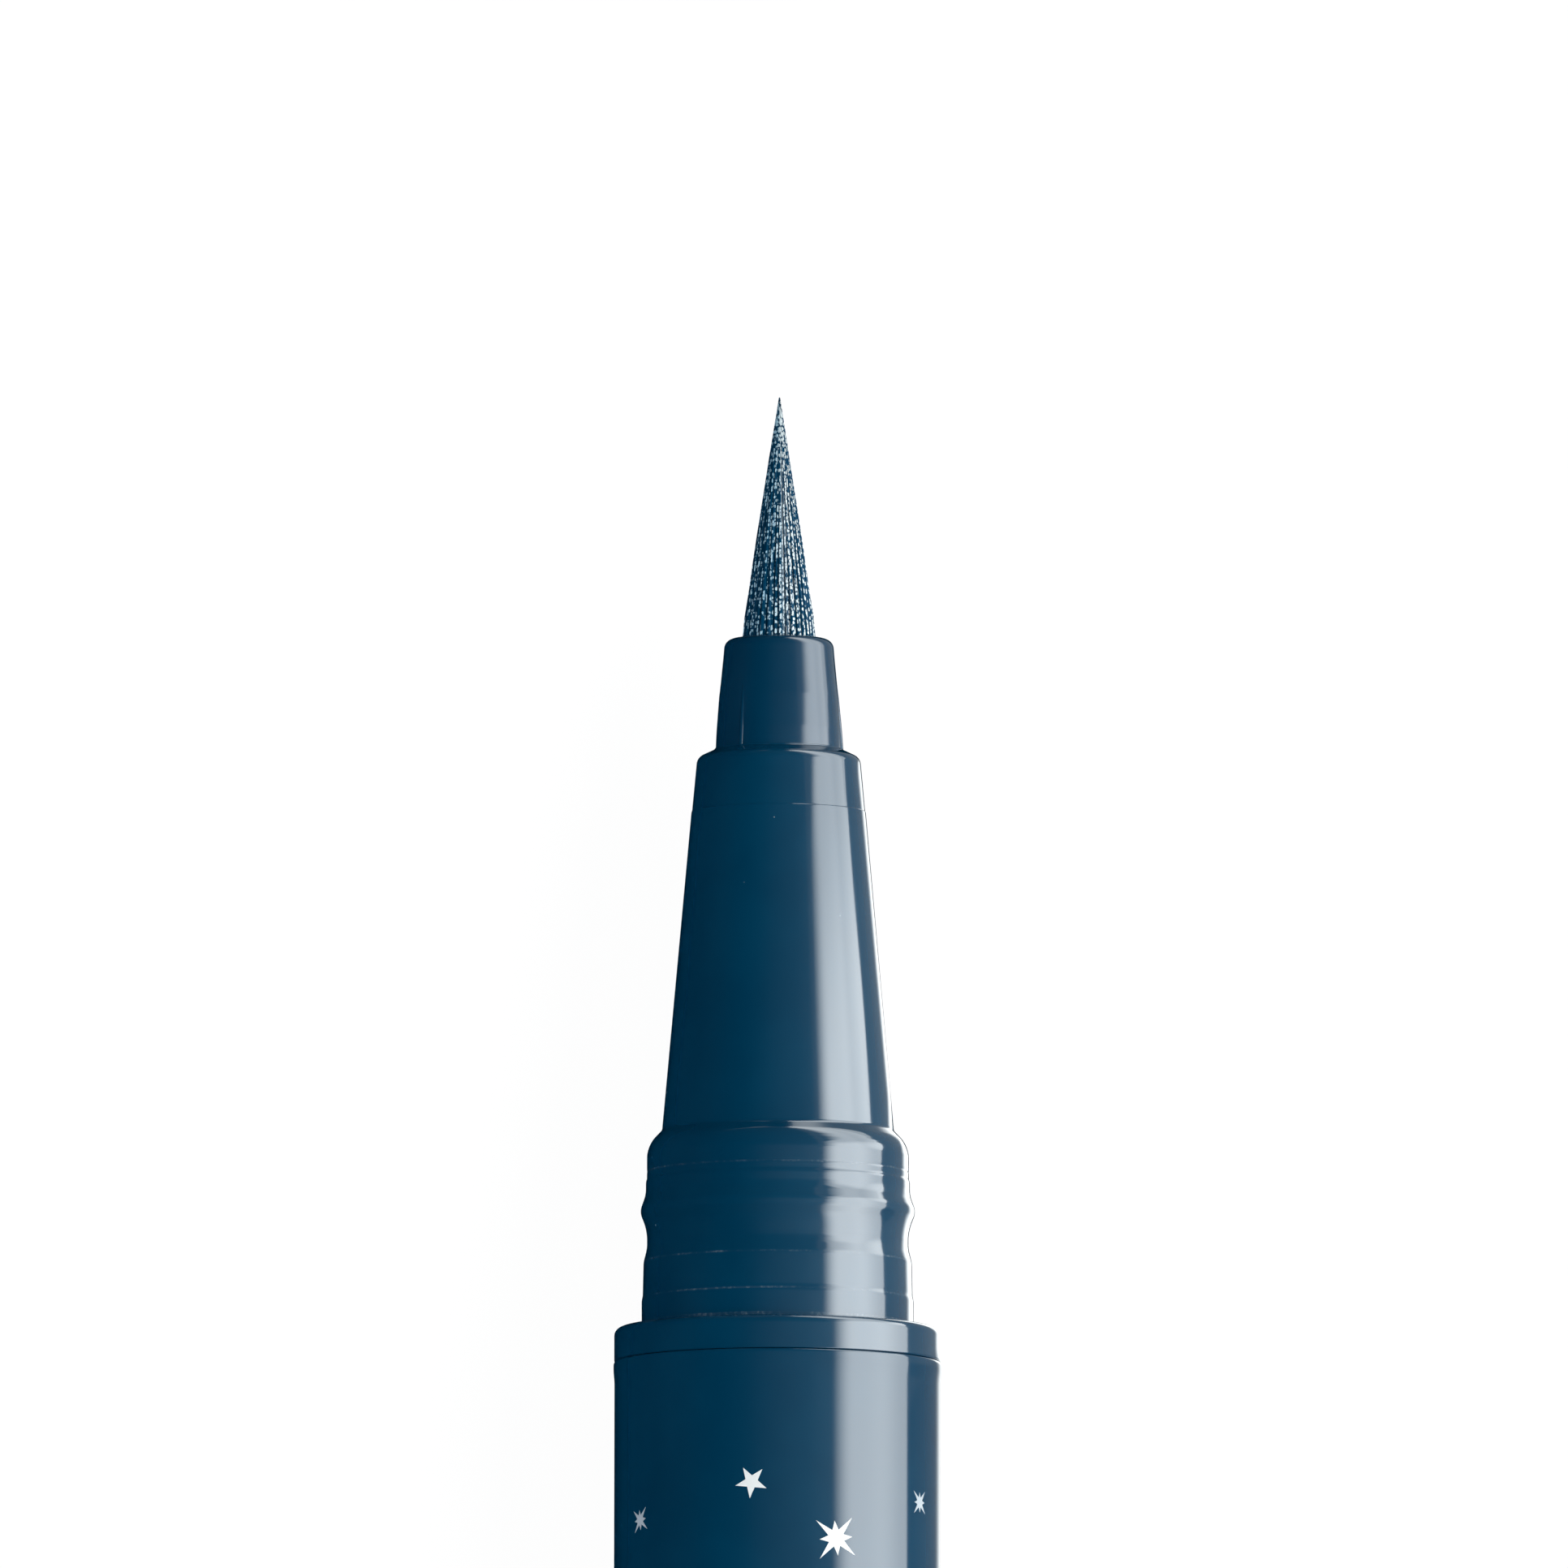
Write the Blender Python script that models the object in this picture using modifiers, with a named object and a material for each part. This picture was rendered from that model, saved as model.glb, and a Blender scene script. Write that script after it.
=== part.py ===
"""Brush-tip liquid eyeliner pen with its cap pulled straight off.

The pen lies on a flat surface along +X with its brush forwards, and the cap lies in line ahead of it.
Every piece is modelled upright, with Z running from the tail face towards the brush, and an empty
lays that frame down. Lengths are in metres.
"""

import math

import bmesh
import bpy
from mathutils import Vector

MM = 0.001

# Facets of a full turn, and distance under which points are one
ROUND_STEPS = 32
SMALL_STEPS = 16
CORNER_STEPS = 3
MERGE_DISTANCE = 0.001 * MM
SHARP_ANGLE = math.radians(32.0)

# Clearances between separate pieces
SEAM_GAP = 0.05 * MM
FIT_GAP = 0.08 * MM
CORE_GAP = 0.05 * MM
RING_GAP = 0.04 * MM

# Barrel and tail
BARREL_RADIUS = 5.40 * MM
BARREL_LENGTH = 82.0 * MM
BARREL_WALL = 0.90 * MM
RIM_FLARE = 0.05 * MM
RIM_FLARE_LENGTH = 0.60 * MM
RIM_LIP = 0.12 * MM
PLUG_HEAD_HEIGHT = 1.60 * MM
PLUG_SPIGOT_LENGTH = 3.00 * MM
PLUG_WALL = 0.90 * MM
PLUG_EDGE_ROUND = 0.45 * MM

# Front section: collar, neck, cone and the skirt inside the barrel
COLLAR_HEIGHT = 1.25 * MM
COLLAR_SETBACK = 0.02 * MM
COLLAR_ROUND = 0.40 * MM
NECK_HEIGHT = 6.40 * MM
NECK_SHOULDER_HEIGHT = 0.73 * MM
NECK_SHOULDER_RISE = 0.45 * MM
CONE_HEIGHT = 12.67 * MM
CONE_TIP_RADIUS = 2.70 * MM
CONE_TIP_ROUND = 0.15 * MM
CONE_TIP_SLOPE_HEIGHT = 0.28 * MM
CONE_WALL = 0.95 * MM
NOSE_STEP_DEPTH = 2.08 * MM
NOSE_STEP = 0.02 * MM
SKIRT_LENGTH = 8.00 * MM
SKIRT_WALL = 1.00 * MM
BORE_TAPER_LENGTH = 2.60 * MM
# Down the neck from its shoulder: share of its height, share of its rear radius
NECK_OUTLINE_SHARES = (
    (0.181, 0.974),
    (0.261, 0.974),
    (0.263, 0.978),
    (0.338, 0.978),
    (0.377, 0.993),
    (0.417, 1.004),
    (0.458, 0.996),
    (0.491, 0.980),
    (0.523, 0.967),
    (0.611, 0.967),
    (0.688, 0.987),
    (0.873, 0.987),
    (0.876, 0.998),
)
NECK_SHOULDER_SHARE = 0.969

# Seal rings and their grooves
RING_WIDTH = 0.60 * MM
RING_THICKNESS = 0.34 * MM
RING_GROOVE_MARGIN = 0.08 * MM
SKIRT_GROOVE_DEPTH_SHARE = 0.60

# Nib holder
HOLDER_HEIGHT = 3.73 * MM
HOLDER_TIP_RADIUS = 1.80 * MM
HOLDER_BASE_RADIUS = 2.10 * MM
HOLDER_EDGE_ROUND = 0.28 * MM
HOLDER_SPIGOT_LENGTH = 6.00 * MM
HOLDER_WALL = 0.25 * MM
# Down the holder: share of its height, share of the way from its tip radius to its base radius
HOLDER_OUTLINE_SHARES = ((0.19, 0.17), (0.40, 0.43), (0.54, 0.63), (0.69, 0.77), (0.83, 0.90))
RIB_COUNT = 3
RIB_FIRST_ANGLE = math.radians(143.0)
RIB_WIDTH = 0.12 * MM
RIB_RISE = 0.05 * MM
RIB_TOP_DROP = 1.45 * MM
RIB_BASE_GAP = 0.04 * MM

# Brush: filaments on their fused root
BRUSH_LENGTH = 7.97 * MM
BRUSH_RADIUS = 1.20 * MM
BRUSH_RECESS = 0.15 * MM
BRUSH_ROOT_LENGTH = 5.60 * MM
BRUSH_FLANGE_RISE = 0.22 * MM
BRUSH_FLANGE_HEIGHT = 0.60 * MM
SOCKET_RADIUS = 0.60 * MM
SOCKET_DEPTH = 2.00 * MM
STRAND_RINGS = 8
STRAND_GAP = 0.012 * MM
TIP_WIDTH_SHARE = 0.045
STRAND_POINT_SHARE = 0.55
OUTER_REACH_SHARE = 0.90
REACH_SPREAD_SHARE = 0.05
GOLDEN_SHARE = 0.618

# Ink path: core, pipe, collector, tank and mixing ball
CORE_RADIUS = 0.75 * MM
CORE_NOSE_LENGTH = 0.50 * MM
CORE_NOSE_SHARE = 0.5
CORE_OVERHANG = 2.00 * MM
PIPE_WALL = 0.50 * MM
COLLECTOR_BOSS_WALL = 0.70 * MM
COLLECTOR_NOSE_LENGTH = 0.60 * MM
COLLECTOR_FLANGE_WEB = 0.50 * MM
COLLECTOR_TAIL_LENGTH = 1.50 * MM
FIN_PITCH = 0.95 * MM
FIN_THICKNESS = 0.45 * MM
VENT_WIDTH = 0.40 * MM
TANK_WALL = 0.70 * MM
TANK_FLOOR = 0.90 * MM
BALL_RADIUS = 1.50 * MM

# Cap
CAP_LENGTH = 50.0 * MM
CAP_WALL = 0.84 * MM
CAP_FIT_GAP = 0.07 * MM
CAP_MOUTH_ROUND = 0.15 * MM
CAP_REST_GAP = 15.0 * MM
SNAP_GROOVE_DEPTH = 0.08 * MM
SNAP_GROOVE_SHARES = (0.44, 0.56, 0.62, 0.70)
LINER_ABOVE_NECK = 7.00 * MM
LINER_WALL = 0.40 * MM
LINER_LIP_HEIGHT = 0.80 * MM
LINER_LIP_GAP = 0.40 * MM
LINER_STOP_RISE = 0.12 * MM
LINER_STOP_HEIGHT = 0.75 * MM
INNER_CAP_GAP = 0.20 * MM
INNER_CAP_WALL = 0.50 * MM
INNER_CAP_END = 0.80 * MM
INNER_CAP_FLANGE_HEIGHT = 0.80 * MM
INNER_CAP_DRAFT = 0.25 * MM
INNER_CAP_HEADROOM = 2.50 * MM
SPRING_RADIUS = 2.70 * MM
SPRING_WIRE_RADIUS = 0.22 * MM
SPRING_TURNS = 6
SPRING_POINTS_PER_TURN = 10

# Overrun of a cutter past the piece it cuts
OVERRUN = 0.50 * MM

# Radii that follow from the ones above
BARREL_BORE = BARREL_RADIUS - BARREL_WALL
INSIDE_RADIUS = BARREL_BORE - FIT_GAP
SKIRT_BORE = INSIDE_RADIUS - SKIRT_WALL
TANK_BORE = INSIDE_RADIUS - TANK_WALL
CAP_BORE = BARREL_RADIUS - CAP_WALL
NECK_RADIUS = CAP_BORE - CAP_FIT_GAP
NECK_SHOULDER_RADIUS = NECK_RADIUS * NECK_SHOULDER_SHARE
CONE_BASE_RADIUS = NECK_SHOULDER_RADIUS - NECK_SHOULDER_RISE
BRUSH_FLANGE_RADIUS = BRUSH_RADIUS + BRUSH_FLANGE_RISE
HOLDER_SPIGOT_RADIUS = BRUSH_FLANGE_RADIUS + CORE_GAP + HOLDER_WALL
HOLDER_SEAT_RADIUS = HOLDER_SPIGOT_RADIUS + CORE_GAP
CORE_BORE = CORE_RADIUS + CORE_GAP
COLLECTOR_BOSS_RADIUS = CORE_BORE + COLLECTOR_BOSS_WALL
LINER_RADIUS = CAP_BORE - FIT_GAP
LINER_BORE = LINER_RADIUS - LINER_WALL

# Heights along the pen, from the tail face
COLLAR_BOTTOM = BARREL_LENGTH + SEAM_GAP
COLLAR_TOP = COLLAR_BOTTOM + COLLAR_HEIGHT
NECK_TOP = COLLAR_TOP + NECK_HEIGHT
CONE_TOP = NECK_TOP + CONE_HEIGHT
HOLDER_BASE = CONE_TOP + SEAM_GAP
HOLDER_TOP = HOLDER_BASE + HOLDER_HEIGHT
BRUSH_TIP = HOLDER_TOP + BRUSH_LENGTH
SKIRT_END = BARREL_LENGTH - SKIRT_LENGTH
BORE_TOP = NECK_TOP - BORE_TAPER_LENGTH
HOLDER_END = CONE_TOP - HOLDER_SPIGOT_LENGTH
ROOT_TOP = HOLDER_TOP - BRUSH_RECESS
ROOT_END = ROOT_TOP - BRUSH_ROOT_LENGTH
GROOVE_WIDTH = RING_WIDTH + 2.0 * RING_GROOVE_MARGIN
COLLECTOR_SEAT = SKIRT_END - SEAM_GAP
COLLECTOR_FLANGE_END = COLLECTOR_SEAT - GROOVE_WIDTH - 2.0 * COLLECTOR_FLANGE_WEB
COLLECTOR_END = COLLECTOR_FLANGE_END - COLLECTOR_TAIL_LENGTH
CORE_END = COLLECTOR_END - CORE_OVERHANG
TANK_BOTTOM = PLUG_HEAD_HEIGHT + PLUG_SPIGOT_LENGTH + SEAM_GAP

# Heights along the cap, from its mouth
CLOSED_NECK_TOP = NECK_HEIGHT - SEAM_GAP
CLOSED_BRUSH_TIP = BRUSH_TIP - COLLAR_TOP - SEAM_GAP
CAP_SHELL_END = CAP_LENGTH - PLUG_HEAD_HEIGHT - SEAM_GAP
CAP_PLUG_INNER_END = CAP_LENGTH - PLUG_HEAD_HEIGHT - PLUG_SPIGOT_LENGTH
LINER_FRONT = CLOSED_NECK_TOP + LINER_ABOVE_NECK
INNER_CAP_FRONT = LINER_FRONT + LINER_LIP_HEIGHT + SEAM_GAP
INNER_CAP_INSIDE_END = CLOSED_BRUSH_TIP + INNER_CAP_HEADROOM
INNER_CAP_BACK = INNER_CAP_INSIDE_END + INNER_CAP_END

# Colour, roughness and metallic value of each finish
NAVY_GLOSS = ((0.004, 0.032, 0.075), 0.18, 0.0)
NAVY_SATIN = ((0.005, 0.035, 0.080), 0.35, 0.0)
FILAMENT = ((0.006, 0.030, 0.070), 0.40, 0.0)
FELT = ((0.02, 0.03, 0.05), 0.95, 0.0)
NATURAL_PLASTIC = ((0.75, 0.78, 0.78), 0.40, 0.0)
WHITE_PLASTIC = ((0.80, 0.80, 0.78), 0.45, 0.0)
BLACK_RUBBER = ((0.02, 0.02, 0.02), 0.80, 0.0)
STEEL = ((0.60, 0.60, 0.62), 0.25, 1.0)


def clear_scene():
    """Remove every object that the file opened with."""
    for item in list(bpy.data.objects):
        bpy.data.objects.remove(item, do_unlink=True)


def new_collection(name):
    """Make a collection in the scene."""
    collection = bpy.data.collections.new(name)
    bpy.context.scene.collection.children.link(collection)
    return collection


def new_material(name, finish):
    """Make one piece's Principled material from a finish."""
    colour, roughness, metallic = finish
    material = bpy.data.materials.new(name)
    material.use_nodes = True
    shader = material.node_tree.nodes["Principled BSDF"]
    shader.inputs["Base Color"].default_value = (*colour, 1.0)
    shader.inputs["Roughness"].default_value = roughness
    shader.inputs["Metallic"].default_value = metallic
    material.diffuse_color = (*colour, 1.0)
    return material


def evaluated_mesh(item):
    """Take the object's mesh with its modifiers applied."""
    graph = bpy.context.evaluated_depsgraph_get()
    return bpy.data.meshes.new_from_object(item.evaluated_get(graph))


def smooth_round_faces(mesh):
    """Shade a mesh smooth and keep its real corners sharp."""
    mesh.shade_smooth()
    mesh.set_sharp_from_angle(angle=SHARP_ANGLE)


class Assembly:
    """Collects the pieces, their materials and the empties that carry them."""

    def __init__(self):
        self.pieces = new_collection("eyeliner_pen")
        self.cutters = new_collection("eyeliner_cutters")

    def frame(self, name, location, rotation, parent=None):
        """Add an empty that carries pieces."""
        empty = bpy.data.objects.new(name, None)
        empty.empty_display_size = BARREL_RADIUS
        empty.location = location
        empty.rotation_euler = rotation
        empty.parent = parent
        self.pieces.objects.link(empty)
        return empty

    def add(self, name, mesh, finish, parent, location=(0.0, 0.0, 0.0)):
        """Add a finished mesh as a named piece."""
        mesh.name = name
        mesh.materials.clear()
        mesh.materials.append(new_material(name, finish))
        smooth_round_faces(mesh)
        piece = bpy.data.objects.new(name, mesh)
        piece.location = location
        piece.parent = parent
        self.pieces.objects.link(piece)
        return piece

    def cutter(self, name, mesh, parent):
        """Add a guide solid that a Boolean reads and that is no piece."""
        guide = bpy.data.objects.new(name, mesh)
        guide.hide_render = True
        guide.display_type = "WIRE"
        guide.parent = parent
        self.cutters.objects.link(guide)
        return guide


def turned_mesh(outline, steps=ROUND_STEPS):
    """Turn an outline of (radius, height) points round Z, with a flat facet towards +X.

    The outline runs down the outer side. One that leaves the axis at both ends is closed there,
    and any other is a ring that closes on itself.
    """
    half_step = math.pi / steps
    points = [(r * math.cos(half_step), r * math.sin(half_step), z) for r, z in outline]
    edges = [(index, index + 1) for index in range(len(points) - 1)]
    if outline[0][0] > 0.0:
        edges.append((len(points) - 1, 0))
    profile = bpy.data.meshes.new("profile")
    profile.from_pydata(points, edges, [])
    holder = bpy.data.objects.new("profile", profile)
    bpy.context.scene.collection.objects.link(holder)
    screw = holder.modifiers.new("turn", "SCREW")
    screw.steps = steps
    screw.render_steps = steps
    screw.use_merge_vertices = True
    screw.merge_threshold = MERGE_DISTANCE
    mesh = evaluated_mesh(holder)
    bpy.data.objects.remove(holder, do_unlink=True)
    return mesh


def top_round(radius, height, inset, drop, steps=CORNER_STEPS):
    """Points of a rounded outer corner, from the upper face out and down to the side."""
    angles = [0.5 * math.pi * index / steps for index in range(steps + 1)]
    return [
        (radius - inset * (1.0 - math.sin(angle)), height - drop * (1.0 - math.cos(angle)))
        for angle in angles
    ]


def bottom_round(radius, height, inset, lift, steps=CORNER_STEPS):
    """Points of a rounded outer corner, from the side down and in to the lower face."""
    return [(r, 2.0 * height - z) for r, z in reversed(top_round(radius, height, inset, lift, steps))]


def rectangle_ring(inner, outer, bottom, top):
    """Outline of a plain ring or tube."""
    return [(inner, top), (outer, top), (outer, bottom), (inner, bottom)]


def seal_ring_outline(outer, middle):
    """Outline of a seal ring with its edges rounded off."""
    bevel = 0.25 * RING_THICKNESS
    inner = outer - RING_THICKNESS
    top = middle + 0.5 * RING_WIDTH
    bottom = middle - 0.5 * RING_WIDTH
    return [
        (inner, top - bevel),
        (inner + bevel, top),
        (outer - bevel, top),
        (outer, top - bevel),
        (outer, bottom + bevel),
        (outer - bevel, bottom),
        (inner + bevel, bottom),
        (inner, bottom + bevel),
    ]


def cone_radius(above_neck):
    """Outer radius of the front section's cone, this far ahead of the neck."""
    taper = (CONE_BASE_RADIUS - CONE_TIP_RADIUS) / CONE_HEIGHT
    return CONE_BASE_RADIUS - taper * above_neck


def barrel_outline():
    """Tube with a slightly flared rim."""
    tail_end = PLUG_HEAD_HEIGHT + SEAM_GAP
    return [
        (BARREL_BORE, BARREL_LENGTH),
        (BARREL_RADIUS + RIM_FLARE - RIM_LIP, BARREL_LENGTH),
        (BARREL_RADIUS + RIM_FLARE, BARREL_LENGTH - RIM_LIP),
        (BARREL_RADIUS, BARREL_LENGTH - RIM_FLARE_LENGTH),
        (BARREL_RADIUS, tail_end),
        (BARREL_BORE, tail_end),
    ]


def plug_outline():
    """End plug of a tube: a rounded head, and a hollow spigot inside the tube."""
    spigot_top = PLUG_HEAD_HEIGHT + PLUG_SPIGOT_LENGTH
    bore = INSIDE_RADIUS - PLUG_WALL
    outline = [
        (0.0, PLUG_HEAD_HEIGHT),
        (bore, PLUG_HEAD_HEIGHT),
        (bore, spigot_top),
        (INSIDE_RADIUS, spigot_top),
        (INSIDE_RADIUS, PLUG_HEAD_HEIGHT),
        (BARREL_RADIUS, PLUG_HEAD_HEIGHT),
    ]
    outline += bottom_round(BARREL_RADIUS, 0.0, PLUG_EDGE_ROUND, PLUG_EDGE_ROUND)
    outline.append((0.0, 0.0))
    return outline


def cap_plug_outline():
    """End plug of the cap, which faces the other way and has the cap's bore."""
    spigot = CAP_BORE - FIT_GAP
    bore = spigot - PLUG_WALL
    head_bottom = CAP_LENGTH - PLUG_HEAD_HEIGHT
    outline = [(0.0, CAP_LENGTH)]
    outline += top_round(BARREL_RADIUS, CAP_LENGTH, PLUG_EDGE_ROUND, PLUG_EDGE_ROUND)
    outline += [
        (BARREL_RADIUS, head_bottom),
        (spigot, head_bottom),
        (spigot, CAP_PLUG_INNER_END),
        (bore, CAP_PLUG_INNER_END),
        (bore, head_bottom),
        (0.0, head_bottom),
    ]
    return outline


def neck_outline():
    """Neck of the front section, from its rounded shoulder down to the collar."""
    outline = top_round(
        NECK_SHOULDER_RADIUS, NECK_TOP, NECK_SHOULDER_RISE, NECK_SHOULDER_HEIGHT, CORNER_STEPS + 1
    )
    for height_share, radius_share in NECK_OUTLINE_SHARES:
        outline.append((NECK_RADIUS * radius_share, NECK_TOP - NECK_HEIGHT * height_share))
    outline.append((NECK_RADIUS, COLLAR_TOP))
    return outline


def cone_outline():
    """Cone of the front section, from the holder's seat down to the neck."""
    step_above_neck = CONE_HEIGHT - NOSE_STEP_DEPTH
    step_height = NECK_TOP + step_above_neck
    slope_bottom = CONE_TOP - CONE_TIP_SLOPE_HEIGHT
    return [
        (HOLDER_BASE_RADIUS, CONE_TOP),
        (CONE_TIP_RADIUS - CONE_TIP_ROUND, slope_bottom + CONE_TIP_ROUND),
        (CONE_TIP_RADIUS, slope_bottom - CONE_TIP_ROUND),
        (cone_radius(step_above_neck) - NOSE_STEP, step_height + NOSE_STEP),
        (cone_radius(step_above_neck), step_height),
    ]


def skirt_outline(ring_middle):
    """Skirt inside the barrel, with the groove of its seal ring."""
    groove_radius = BARREL_BORE - RING_GAP - RING_THICKNESS - RING_GAP
    groove_top = ring_middle + 0.5 * GROOVE_WIDTH
    groove_bottom = ring_middle - 0.5 * GROOVE_WIDTH
    return [
        (INSIDE_RADIUS, COLLAR_BOTTOM),
        (INSIDE_RADIUS, groove_top),
        (groove_radius, groove_top),
        (groove_radius, groove_bottom),
        (INSIDE_RADIUS, groove_bottom),
        (INSIDE_RADIUS, SKIRT_END),
    ]


def front_section_outline(ring_middle):
    """Whole front section: outside from the nose down, then its bore back up."""
    collar_radius = BARREL_RADIUS - COLLAR_SETBACK
    outline = cone_outline()
    outline += neck_outline()
    outline += top_round(collar_radius, COLLAR_TOP, COLLAR_ROUND, COLLAR_ROUND)
    outline.append((collar_radius, COLLAR_BOTTOM))
    outline += skirt_outline(ring_middle)
    outline += [
        (SKIRT_BORE, SKIRT_END),
        (SKIRT_BORE, BORE_TOP),
        (CONE_BASE_RADIUS - CONE_WALL, NECK_TOP),
        (HOLDER_SEAT_RADIUS, HOLDER_END - SEAM_GAP),
        (HOLDER_SEAT_RADIUS, CONE_TOP),
    ]
    return outline


def holder_outline():
    """Nib holder: tapered nose, spigot in the front section, and the brush's stepped bore."""
    bore = BRUSH_RADIUS + CORE_GAP
    counterbore = BRUSH_FLANGE_RADIUS + CORE_GAP
    step = ROOT_END + BRUSH_FLANGE_HEIGHT + SEAM_GAP
    outline = [(bore, HOLDER_TOP)]
    outline += top_round(HOLDER_TIP_RADIUS, HOLDER_TOP, HOLDER_EDGE_ROUND, HOLDER_EDGE_ROUND)
    spread = HOLDER_BASE_RADIUS - HOLDER_TIP_RADIUS
    for height_share, spread_share in HOLDER_OUTLINE_SHARES:
        height = HOLDER_TOP - HOLDER_HEIGHT * height_share
        outline.append((HOLDER_TIP_RADIUS + spread * spread_share, height))
    outline += [
        (HOLDER_BASE_RADIUS, HOLDER_BASE),
        (HOLDER_SPIGOT_RADIUS, HOLDER_BASE),
        (HOLDER_SPIGOT_RADIUS, HOLDER_END),
        (counterbore, HOLDER_END),
        (counterbore, step),
        (bore, step),
    ]
    return outline


def rib_mesh(angle):
    """One thin raised rib that stands on the holder's taper at this angle round the pen."""
    top = HOLDER_TOP - RIB_TOP_DROP
    bottom = HOLDER_BASE + RIB_BASE_GAP
    spread = HOLDER_BASE_RADIUS - HOLDER_TIP_RADIUS
    outer_top = HOLDER_TIP_RADIUS + spread * RIB_TOP_DROP / HOLDER_HEIGHT + RIB_RISE
    outer_bottom = HOLDER_BASE_RADIUS + RIB_RISE
    inner = 0.5 * (BRUSH_RADIUS + CORE_GAP + HOLDER_TIP_RADIUS)
    shape = bmesh.new()
    bmesh.ops.create_cube(shape, size=1.0)
    outwards = Vector((math.cos(angle), math.sin(angle), 0.0))
    sideways = Vector((-math.sin(angle), math.cos(angle), 0.0))
    for vertex in shape.verts:
        upper = vertex.co.z > 0.0
        outer = outer_top if upper else outer_bottom
        reach = outer if vertex.co.x > 0.0 else inner
        height = top if upper else bottom
        vertex.co = outwards * reach + sideways * vertex.co.y * RIB_WIDTH + Vector((0.0, 0.0, height))
    mesh = bpy.data.meshes.new("rib")
    shape.to_mesh(mesh)
    shape.free()
    return mesh


def join_guides(piece, guides, operation):
    """Join guides to a piece, or cut them out of it, with exact Booleans."""
    for guide in guides:
        boolean = piece.modifiers.new(guide.name, "BOOLEAN")
        boolean.operation = operation
        boolean.object = guide


def round_off_hexagon(shape):
    """Move a subdivided hexagon's points out so that its rings become circles."""
    flats = [Vector((math.cos(math.radians(60.0 * k)), math.sin(math.radians(60.0 * k)), 0.0)) for k in range(6)]
    for vertex in shape.verts:
        distance = vertex.co.length
        if distance > 0.0:
            ring = max(vertex.co.dot(flat) for flat in flats) / math.cos(math.radians(30.0))
            vertex.co *= ring / distance


def extrude_rim(shape, rim, radius, height):
    """Extrude a round rim of edges to a new radius and height, and return the new rim."""
    result = bmesh.ops.extrude_edge_only(shape, edges=rim)
    new_edges = [item for item in result["geom"] if isinstance(item, bmesh.types.BMEdge)]
    for vertex in [item for item in result["geom"] if isinstance(item, bmesh.types.BMVert)]:
        angle = math.atan2(vertex.co.y, vertex.co.x)
        vertex.co = (radius * math.cos(angle), radius * math.sin(angle), height)
    return [edge for edge in new_edges if edge.is_boundary]


def grow_strands(shape, faces):
    """Draw each face out into one filament that leans in to the brush's point."""
    full_length = BRUSH_TIP - ROOT_TOP
    bmesh.ops.inset_individual(shape, faces=faces, thickness=STRAND_GAP, use_even_offset=True)
    strands = bmesh.ops.extrude_discrete_faces(shape, faces=faces)["faces"]
    for index, strand in enumerate(strands):
        centre = strand.calc_center_median()
        rim_share = math.hypot(centre.x, centre.y) / BRUSH_RADIUS
        drop_share = 1.0 - OUTER_REACH_SHARE + REACH_SPREAD_SHARE * math.fmod(index * GOLDEN_SHARE, 1.0)
        reach_share = 1.0 - drop_share * rim_share
        draw_in = 1.0 - (1.0 - TIP_WIDTH_SHARE) * reach_share
        for vertex in strand.verts:
            point = (centre + (vertex.co - centre) * STRAND_POINT_SHARE) * draw_in
            vertex.co = (point.x, point.y, ROOT_TOP + full_length * reach_share)


def brush_mesh():
    """Brush: filaments that meet in a point, on a fused root with its flange and core socket."""
    shape = bmesh.new()
    bmesh.ops.create_circle(shape, cap_ends=True, cap_tris=True, segments=6, radius=BRUSH_RADIUS)
    bmesh.ops.subdivide_edges(shape, edges=shape.edges[:], cuts=STRAND_RINGS - 1, use_grid_fill=True)
    round_off_hexagon(shape)
    bmesh.ops.translate(shape, vec=Vector((0.0, 0.0, ROOT_TOP)), verts=shape.verts[:])
    grow_strands(shape, shape.faces[:])
    rim = [edge for edge in shape.edges if edge.is_boundary]
    flange_top = ROOT_END + BRUSH_FLANGE_HEIGHT
    rim = extrude_rim(shape, rim, BRUSH_RADIUS, flange_top)
    rim = extrude_rim(shape, rim, BRUSH_FLANGE_RADIUS, flange_top)
    rim = extrude_rim(shape, rim, BRUSH_FLANGE_RADIUS, ROOT_END)
    rim = extrude_rim(shape, rim, SOCKET_RADIUS, ROOT_END)
    rim = extrude_rim(shape, rim, SOCKET_RADIUS, ROOT_END + SOCKET_DEPTH)
    bmesh.ops.edgeloop_fill(shape, edges=rim)
    bmesh.ops.recalc_face_normals(shape, faces=shape.faces[:])
    mesh = bpy.data.meshes.new("brush_tip")
    shape.to_mesh(mesh)
    shape.free()
    return mesh


def core_outline():
    """Fibre core: a pointed nose in the brush's socket, then one round rod back into the ink."""
    nose_radius = SOCKET_RADIUS - CORE_GAP
    nose_top = ROOT_END + SOCKET_DEPTH - CORE_GAP
    shoulder = ROOT_END - CORE_GAP
    return [
        (0.0, nose_top),
        (nose_radius * CORE_NOSE_SHARE, nose_top),
        (nose_radius, nose_top - CORE_NOSE_LENGTH),
        (nose_radius, shoulder),
        (CORE_RADIUS, shoulder),
        (CORE_RADIUS, CORE_END),
        (0.0, CORE_END),
    ]


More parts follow.
